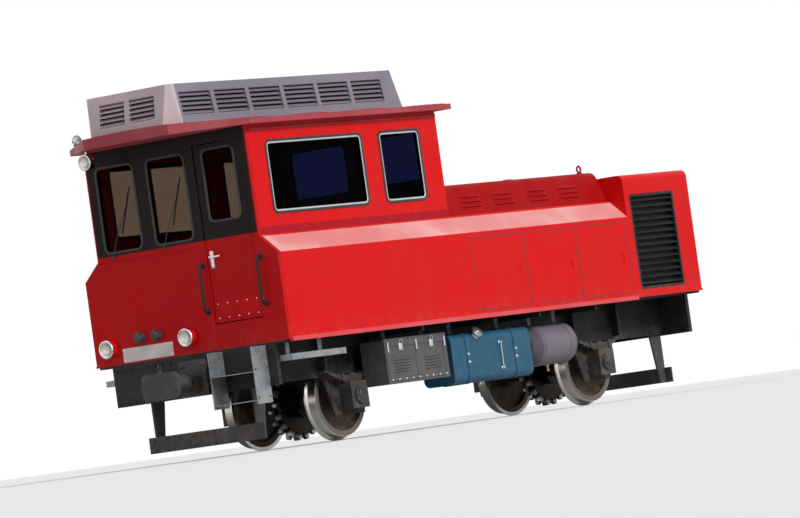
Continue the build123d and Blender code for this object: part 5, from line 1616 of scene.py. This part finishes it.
    def build_grab_rails(self) -> None:
        """Two bent tubes beside the door, which stand for the straight rods of the part."""
        tubes, feet = [], []
        for y in self.rail_y:
            ends = [(self.front_x, y, z) for z in self.rail_z]
            tubes.append(bow(ends, (-0.060, 0, 0), 0.040, 0.014, 20, bend_steps=10))
            feet.append(Turning.GRAB_RAIL_FOOT.at(ends, FORE))
        # The rails are painted black; their dark upright lines also stand for the shadow lines along the
        # door's edges.
        rails = make_piece("entrance_rails", tubes + feet, BLACK)
        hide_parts("grab_rails")

    def build_front_wall(self) -> None:
        """A blank plate, a waist bead, capped sockets and screws on the front wall."""
        x, (y0, y1), (z0, z1) = self.front_x, self.plate_y, self.plate_z
        plate = wall_panel((x, y0, z0), (x, y1, z1), FORE, 0.004, 0.012)
        screws = [(x - 0.004, y, z) for y in (y0 + 0.02, y1 - 0.02) for z in (z0 + 0.02, z1 - 0.02)]
        bead = strip(row_of((x, -0.24, self.bead_z), (x, 1.04, self.bead_z)), (30, 14, 6, 4), FORE)
        seam = Turning.SCREW.at(row_of((x, -0.20, self.seam_z), (x, 1.20, self.seam_z), 15), FORE)
        sockets = []
        for y in self.sockets_y:
            low, high = (x - 0.060, y - 0.016, 1.320), (x - 0.020, y + 0.016, 1.336)
            sockets.append(Turning.SOCKET.at((x, y, self.socket_z), FORE))
            sockets.append(block(low, high, 0.004))
        make_piece("front_plate", [plate], PLATE)
        make_piece("front_plate_screws", [Turning.SCREW.at(screws, FORE)], CHROME)
        make_piece("front_trim", [bead, seam], FRONT_RED_PAINTED_SHADE)
        make_piece("front_sockets", sockets, IRON)

    def roof_line(self, y: Array) -> Array:
        """Height of the roof sheet's top: its edge plus the rise times 1 - (y / half width)^2."""
        return self.roof_edge + self.roof_rise * (1 - (y / self.roof_half) ** 2)

    def build_roof_trim(self) -> None:
        """Sheet joints with rivets over the roof, and a gutter on each side."""
        joints, heads = [], []
        for x in self.roof_joints:
            for sign in (-1, 1):
                y = sign * np.linspace(*self.joint_span, 14)
                path = np.column_stack([np.full(14, x), y, self.roof_line(y) + 0.001])
                joints.append(strip(path, (45, 7, 3, 3), UP))
                for way in (-0.014, 0.014):
                    heads.append(scattered(rivet(0.006), path[1::2] + (way, 0, 0.003)))
        for y in (-self.side_y, self.side_y):
            ends = [(x, y, self.gutter_z) for x in self.gutter_x]
            joints.append(strip(row_of(*ends), (34, 20, 6, 4), UP))
        make_piece("roof_joints", joints, ROOF_RED)
        make_piece("roof_rivets", heads, ROOF_RED)

    def gauge(self, radius: float) -> tuple[Shell, Shell, Shell]:
        """A round instrument standing on Z.

        Args:
            radius: Radius of its rim.

        Returns:
            The rim, the dark face, and the pale marks with the needle.
        """
        rim = [(0.8, 0.004), (0.8, 0.0), (1, 0.0), (1, 0.010), (0.93, 0.014), (0.86, 0.011)]
        marks = []
        for turn in np.linspace(-2.2, 2.2, 9):
            tick = block((-0.0012, radius * 0.62, 0.0048), (0.0012, radius * 0.78, 0.0058), 0.0003)
            marks.append(tick.placed(np.array(Matrix.Rotation(turn, 3, "Z")), (0, 0, 0)))
        marks.append(block((-0.0015, -0.008, 0.006), (0.0015, radius * 0.66, 0.0072), 0.0003))
        face = turned([(radius * 0.87, 0.0), (radius * 0.87, 0.005)], 32)
        return turned([(radius * share, height) for share, height in rim], 32), face, joined(marks)

    def build_desk(self) -> None:
        """Instruments, push buttons, two levers and a screen on a foot on the driver's desk."""
        axes = facing((1, 0, 1))
        x, z = self.desk_edge
        rims, faces, marks, buttons, levers = [], [], [], [], []
        for y, radius in self.gauges:
            for pile, shell in zip((rims, faces, marks), self.gauge(radius)):
                pile.append(shell.placed(axes, (x, y, z)))
        button = Turning.BUTTON.at((0, 0, 0))
        for y in np.linspace(*self.button_y, 6):
            for step in (-0.03, 0.03):
                buttons.append(button.placed(axes, np.array([x, y, z]) + axes[:, 1] * step))
        knob = turned([(0.022 * np.cos(t), 0.022 * np.sin(t)) for t in np.linspace(-1.4, 1.4, 10)], 24)
        for y in self.lever_y:
            levers.append(Turning.LEVER_BOOT.at((-3.26, y, 2.090)))
            levers.append(tube(row_of((-3.26, y, 2.12), (-3.22, y, 2.235)), 0.007, 12))
            levers.append(knob.shifted(-3.217, y, 2.250))
        screen = bevelled((0.26, 0.20, 0.03), 0.006, 0.015)
        levers.append(scattered(screen, self.screen, (0.80, 0, 0.60)))
        levers.append(block((-3.36, 0.26, 2.088), (-3.33, 0.30, 2.15), 0.004))
        make_piece("desk_rims", rims, CHROME)
        make_piece("desk_dials", faces, SEAL)
        make_piece("desk_marks", marks, PLATE)
        make_piece("desk_buttons", buttons, RED)
        make_piece("desk_levers", levers, SEAL)

    def build_seat(self) -> None:
        """The driver's seat: two stuffed pads with sewn seams, a pan, a pillar, a foot and a back plate."""
        low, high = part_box("driver_seat")
        x, y = (low.x + high.x) / 2, (low.y + high.y) / 2
        seat = cushion((0.45, 0.45, 0.10), 0.022, (-0.45, 0.0, 0.45)).shifted(x - 0.004, y, self.seat_z)
        upright = [[0, 0, -1], [0, 1, 0], [1, 0, 0]]
        back = cushion((0.47, 0.44, 0.085), 0.020, (-0.4, 0.1, 0.55))
        back = back.placed(upright, (high.x - 0.045, y, self.back_z))
        for name, pad in (("seat_cushion", seat), ("seat_back", back)):
            make_piece(name, [pad], CLOTH, smooth=80.0)
        shells = [block((x - 0.20, y - 0.19, self.pan_z[0]), (x + 0.20, y + 0.19, self.pan_z[1]), 0.006)]
        pillar = [(0.17, 0), (0.18, 0.004), (0.18, 0.024), (0.172, 0.030)]
        pillar += [(0.070, 0.036), (0.055, 0.060), (0.045, 0.10)]
        wave = np.linspace(0, 1, 41)
        pillar += zip(0.052 + 0.007 * np.sin(wave * 14 * np.pi), 0.11 + wave * 0.24)
        pillar += [(0.040, 0.36), (0.040, 0.40), (0.09, 0.405), (0.09, 0.412)]
        shells.append(turned(pillar).shifted(x, y, low.z))
        far, low_z = high.x - 0.012, self.plate_low
        plate = softened([(x + 0.12, y, low_z), (far, y, low_z), (far, y, self.plate_top)], 0.05)
        shells.append(strip(plate, (10, 80, 4, 4), ALONG_Y))
        base = make_piece("seat_base", shells, IRON)
        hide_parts("driver_seat")


@dataclass
class RoofHousing(Assembly):
    """The slatted equipment housing on the roof."""

    finishes: ClassVar = {POD_GREY_PAINTED_LIGHT: "roof_housing"}
    front_x: float = -4.010
    rear_x: float = -0.360
    front_lean: float = 0.060
    rear_lean: float = 0.080
    seat_z: float = 3.225
    height: float = 0.440
    half_low: float = 0.600
    half_high: float = 0.540
    side_margin: float = 0.190
    front_margin: float = 0.240
    post: float = 0.060
    side_bays: int = 6
    front_bays: int = 2
    bay_z: float = 0.240
    bay_height: float = 0.230
    bay_depth: float = 0.043
    screw_rise: float = 0.135
    lids: int = 5
    lid_margin: float = 0.08
    foot_rise: float = 0.045

    def bay_row(self, length: float, count: int) -> tuple[float, Array]:
        """The width of each of a row's bays, and their middles, which are a width and a post apart."""
        width = (length - (count - 1) * self.post) / count
        return width, width / 2 + np.arange(count) * (width + self.post)

    def side_way(self, sign: int) -> Point:
        """The way out of a leaning side."""
        return 0, sign * self.height, self.half_low - self.half_high

    def fill_bay(self, width: float, middle: Point, way: Point) -> tuple[Shell, Shell]:
        """The dark mesh at the back of one bay and the screws above and below it.

        Args:
            width: The bay's width.
            middle: The bay's middle on the housing's face.
            way: The way out of that face.

        Returns:
            The mesh panel and the screws.
        """
        panel = bevelled((width - 0.006, self.bay_height - 0.006, 0.003), 0.001, 0.004)
        panel = panel.shifted(0, 0, -self.bay_depth).placed(facing(way), middle)
        across, up = np.linspace(0.04 - width / 2, width / 2 - 0.04, 4), (-self.screw_rise, self.screw_rise)
        flat = [(a, b) for a in across for b in up]
        return panel, Turning.BAY_SCREW.at(on_wall(flat, way, middle), way)

    def build_bays(self) -> None:
        """Dark mesh behind the slats of every bay, with screws round it."""
        rise, z = self.bay_z / self.height, self.seat_z + self.bay_z
        filled = []
        x0 = self.front_x + self.side_margin
        width, middles = self.bay_row(self.rear_x - self.rear_lean - self.side_margin - x0, self.side_bays)
        y = self.half_low + (self.half_high - self.half_low) * rise
        for sign in (-1, 1):
            filled += [self.fill_bay(width, (x, sign * y, z), self.side_way(sign)) for x in x0 + middles]
        width, middles = self.bay_row(2 * (self.half_low - self.front_margin), self.front_bays)
        x, way = self.front_x + self.front_lean * rise, (-self.height, 0, self.front_lean)
        filled += [self.fill_bay(width, (x, y, z), way) for y in self.front_margin - self.half_low + middles]
        make_piece("housing_bay_floors", [panel for panel, screws in filled], GRILLE)
        make_piece("housing_screws", [screws for panel, screws in filled], POD_GREY_PAINTED_LIGHT)

    def build_top(self) -> None:
        """Raised lids on the housing's top and a strip along its foot on each side."""
        start = self.front_x + self.front_lean + self.lid_margin
        width, middles = self.bay_row(self.rear_x - self.rear_lean - self.lid_margin - start, self.lids)
        lid = bevelled((width, self.half_high + 0.26, 0.012), 0.004, 0.03)
        lids = [lid.shifted(start + x, 0, self.seat_z + self.height - 0.007) for x in middles]
        strips = []
        for sign in (-1, 1):
            y, z = sign * (self.half_low + 0.002), self.seat_z + self.foot_rise
            line = row_of((self.front_x + 0.17, y, z), (self.rear_x - 0.02, y, z))
            strips.append(strip(line, (30, 6, 2, 3), self.side_way(sign)))
        make_piece("housing_lids", lids, POD_GREY_PAINTED_LIGHT)
        make_piece("housing_foot_strips", strips, POD_GREY_PAINTED_LIGHT)


@dataclass
class Lamps(Assembly):
    """Headlamps and the air horn."""

    finishes: ClassVar = {RED: "headlamps_front headlamps_rear", CHROME: "headlamp_top"}
    rim: float = 0.012
    recess: float = 0.014
    bulge: float = 0.010
    mouth: float = 0.065
    throat: float = 0.0126
    trumpet: float = 0.300
    horn_y: float = 1.070
    horn_z: float = 3.305

    def build_lamps(self) -> None:
        """A reflector, a bulb, a fluted glass and a rim in each headlamp."""
        rims, bowls, glasses = [], [], []
        for node, way in (("headlamps_front", -1), ("headlamp_top", -1), ("headlamps_rear", 1)):
            for low, high in islands(node):
                radius = (high[1] - low[1]) / 2
                centre = (low[0] if way < 0 else high[0], (low[1] + high[1]) / 2, low[2] + radius)
                inner = radius - self.rim
                trim = [(inner - 0.004, -0.004), (inner - 0.004, 0.004), (inner + 0.002, 0.009),
                        (radius - 0.002, 0.007), (radius + 0.003, 0.0), (radius + 0.003, -0.012),
                        (radius - 0.001, -0.014)]
                wide, deep, pane = inner * 0.99, 0.001 - self.recess, inner - 0.001
                bowl = [(wide, deep - 0.0005)]
                bowl += [(wide * s, deep + self.bulge * s ** 2) for s in np.linspace(1, 0.16, 10)]
                dome = [(pane, -0.003)]
                dome += [(pane * t, self.bulge * (1 - t ** 2) - 0.001) for t in np.linspace(1, 0.02, 10)]
                for pile, profile in ((rims, trim), (bowls, bowl), (glasses, dome)):
                    pile.append(scattered(turned(profile, 48), centre, (way, 0, 0)))
                bowls.append(Turning.BULB.at(centre, (way, 0, 0)))
        make_piece("lamp_rims", rims, CHROME)
        make_piece("lamp_reflectors", bowls, CHROME)
        make_piece("lamp_glasses", glasses, LENS)

    def build_horn(self) -> None:
        """A trumpet whose radius grows with the cube of the way to its mouth, on a bracket."""
        low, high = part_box("air_horn")
        y, z = self.horn_y, self.horn_z
        share = np.linspace(0, 1, 24)
        outer = list(zip(self.throat + (self.mouth - self.throat) * share ** 3, 0.06 + self.trumpet * share))
        inner = [(r - 0.003, h) for r, h in outer[::-1]][:-2]
        body = [(0.034, 0.0), (0.036, 0.004), (0.036, 0.040), (0.030, 0.048), (0.016, 0.052)]
        trumpet = turned(body + outer + [(self.mouth, 0.06 + self.trumpet)] + inner)
        shells = [scattered(trumpet, (high.x, y, z), FORE)]
        plate = (0.058, 0.002, 0.018, low.z + 0.004, low.z + 0.012)
        post = (0.042, 0.018, 0.008, low.z + 0.010, z - 0.030)
        for near, far, half, foot, top in (plate, post):
            shells.append(block((high.x - near, y - half, foot), (high.x - far, y + half, top), 0.002))
        horn = make_piece("horn_trumpet", shells, CHROME, smooth=50.0)
        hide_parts("air_horn")


@dataclass
class Studio(Assembly):
    """A pale floor, a white surround, soft lights and the camera."""

    azimuth: float = -52.0
    distance: float = 60.0
    height: float = 0.08
    aim: Point = (0.0, 0.0, 1.76)
    lens: float = 262.0
    roll: float = 8.0
    ambient: float = 0.34
    floor_half: float = 300.0
    floor_gap: float = 0.001

    def build_floor(self) -> None:
        """A large flat floor just under the wheels."""
        mesh = bpy.data.meshes.new("studio_floor")
        corners = np.array([(-1, -1, 0), (1, -1, 0), (1, 1, 0), (-1, 1, 0)]) * self.floor_half
        mesh.from_pydata((corners - (0, 0, self.floor_gap)).tolist(), [], [(0, 1, 2, 3)])
        floor = bpy.data.objects.new("studio_floor", mesh)
        mesh.materials.append(SHOP.get(PlainFloor("studio_floor")))
        bpy.context.scene.collection.objects.link(floor)

    def build_world(self) -> None:
        """White for camera, mirror and glass rays, and the ambient level for the others."""
        world = bpy.data.worlds.new("studio_world")
        bpy.context.scene.world = world
        world.use_nodes = True
        nodes, links = world.node_tree.nodes, world.node_tree.links
        nodes.clear()
        out = nodes.new("ShaderNodeOutputWorld")
        light = nodes.new("ShaderNodeBackground")
        path = nodes.new("ShaderNodeLightPath")
        total = path.outputs["Is Camera Ray"]
        for ray in ("Is Glossy Ray", "Is Transmission Ray"):
            add = nodes.new("ShaderNodeMath")
            add.operation = "MAXIMUM"
            links.new(total, add.inputs[0])
            links.new(path.outputs[ray], add.inputs[1])
            total = add.outputs[0]
        strength = nodes.new("ShaderNodeMapRange")
        strength.inputs["To Min"].default_value = self.ambient
        strength.inputs["To Max"].default_value = 1.0
        links.new(total, strength.inputs["Value"])
        links.new(strength.outputs[0], light.inputs["Strength"])
        light.inputs["Color"].default_value = (1, 1, 1, 1)
        links.new(light.outputs[0], out.inputs[0])

    def build_lights(self) -> None:
        """Two distant lamps, each wide enough to soften its shadows."""
        for name, towards, strength, spread in (
                ("key", (-0.06, -0.85, 0.50), 2.35, 14.0), ("fill", (-0.85, 0.10, 0.52), 0.20, 40.0)):
            lamp = bpy.data.lights.new(name, "SUN")
            lamp.energy = strength
            lamp.angle = np.radians(spread)
            holder = bpy.data.objects.new(name, lamp)
            holder.rotation_mode = "QUATERNION"
            holder.rotation_quaternion = (-Vector(towards)).to_track_quat("-Z", "Y")
            bpy.context.scene.collection.objects.link(holder)

    def build_camera(self) -> None:
        """A long lens far away, turned about its own axis so that the locomotive climbs as in the photo."""
        turn = np.radians(self.azimuth)
        place = Vector((np.sin(turn) * self.distance, -np.cos(turn) * self.distance, self.height))
        camera = bpy.data.objects.new("camera", bpy.data.cameras.new("camera"))
        camera.data.lens = self.lens
        camera.data.clip_end = 1000.0
        camera.location = place
        look = (Vector(self.aim) - place).to_track_quat("-Z", "Y")
        camera.rotation_mode = "QUATERNION"
        camera.rotation_quaternion = look @ Matrix.Rotation(np.radians(-self.roll), 3, "Z").to_quaternion()
        bpy.context.scene.collection.objects.link(camera)
        bpy.context.scene.camera = camera
        bpy.context.scene.view_settings.view_transform = "Standard"


def main() -> None:
    """Build the sub-assemblies in order and then the studio."""
    logging.basicConfig(level=logging.INFO, format="%(name)s %(message)s")
    for assembly in (RunningGear(), Underframe(), Body(), Cab(), RoofHousing(), Lamps(), Studio()):
        log.info("building %s", type(assembly).__name__)
        assembly.run()


if __name__ == "__main__":
    main()
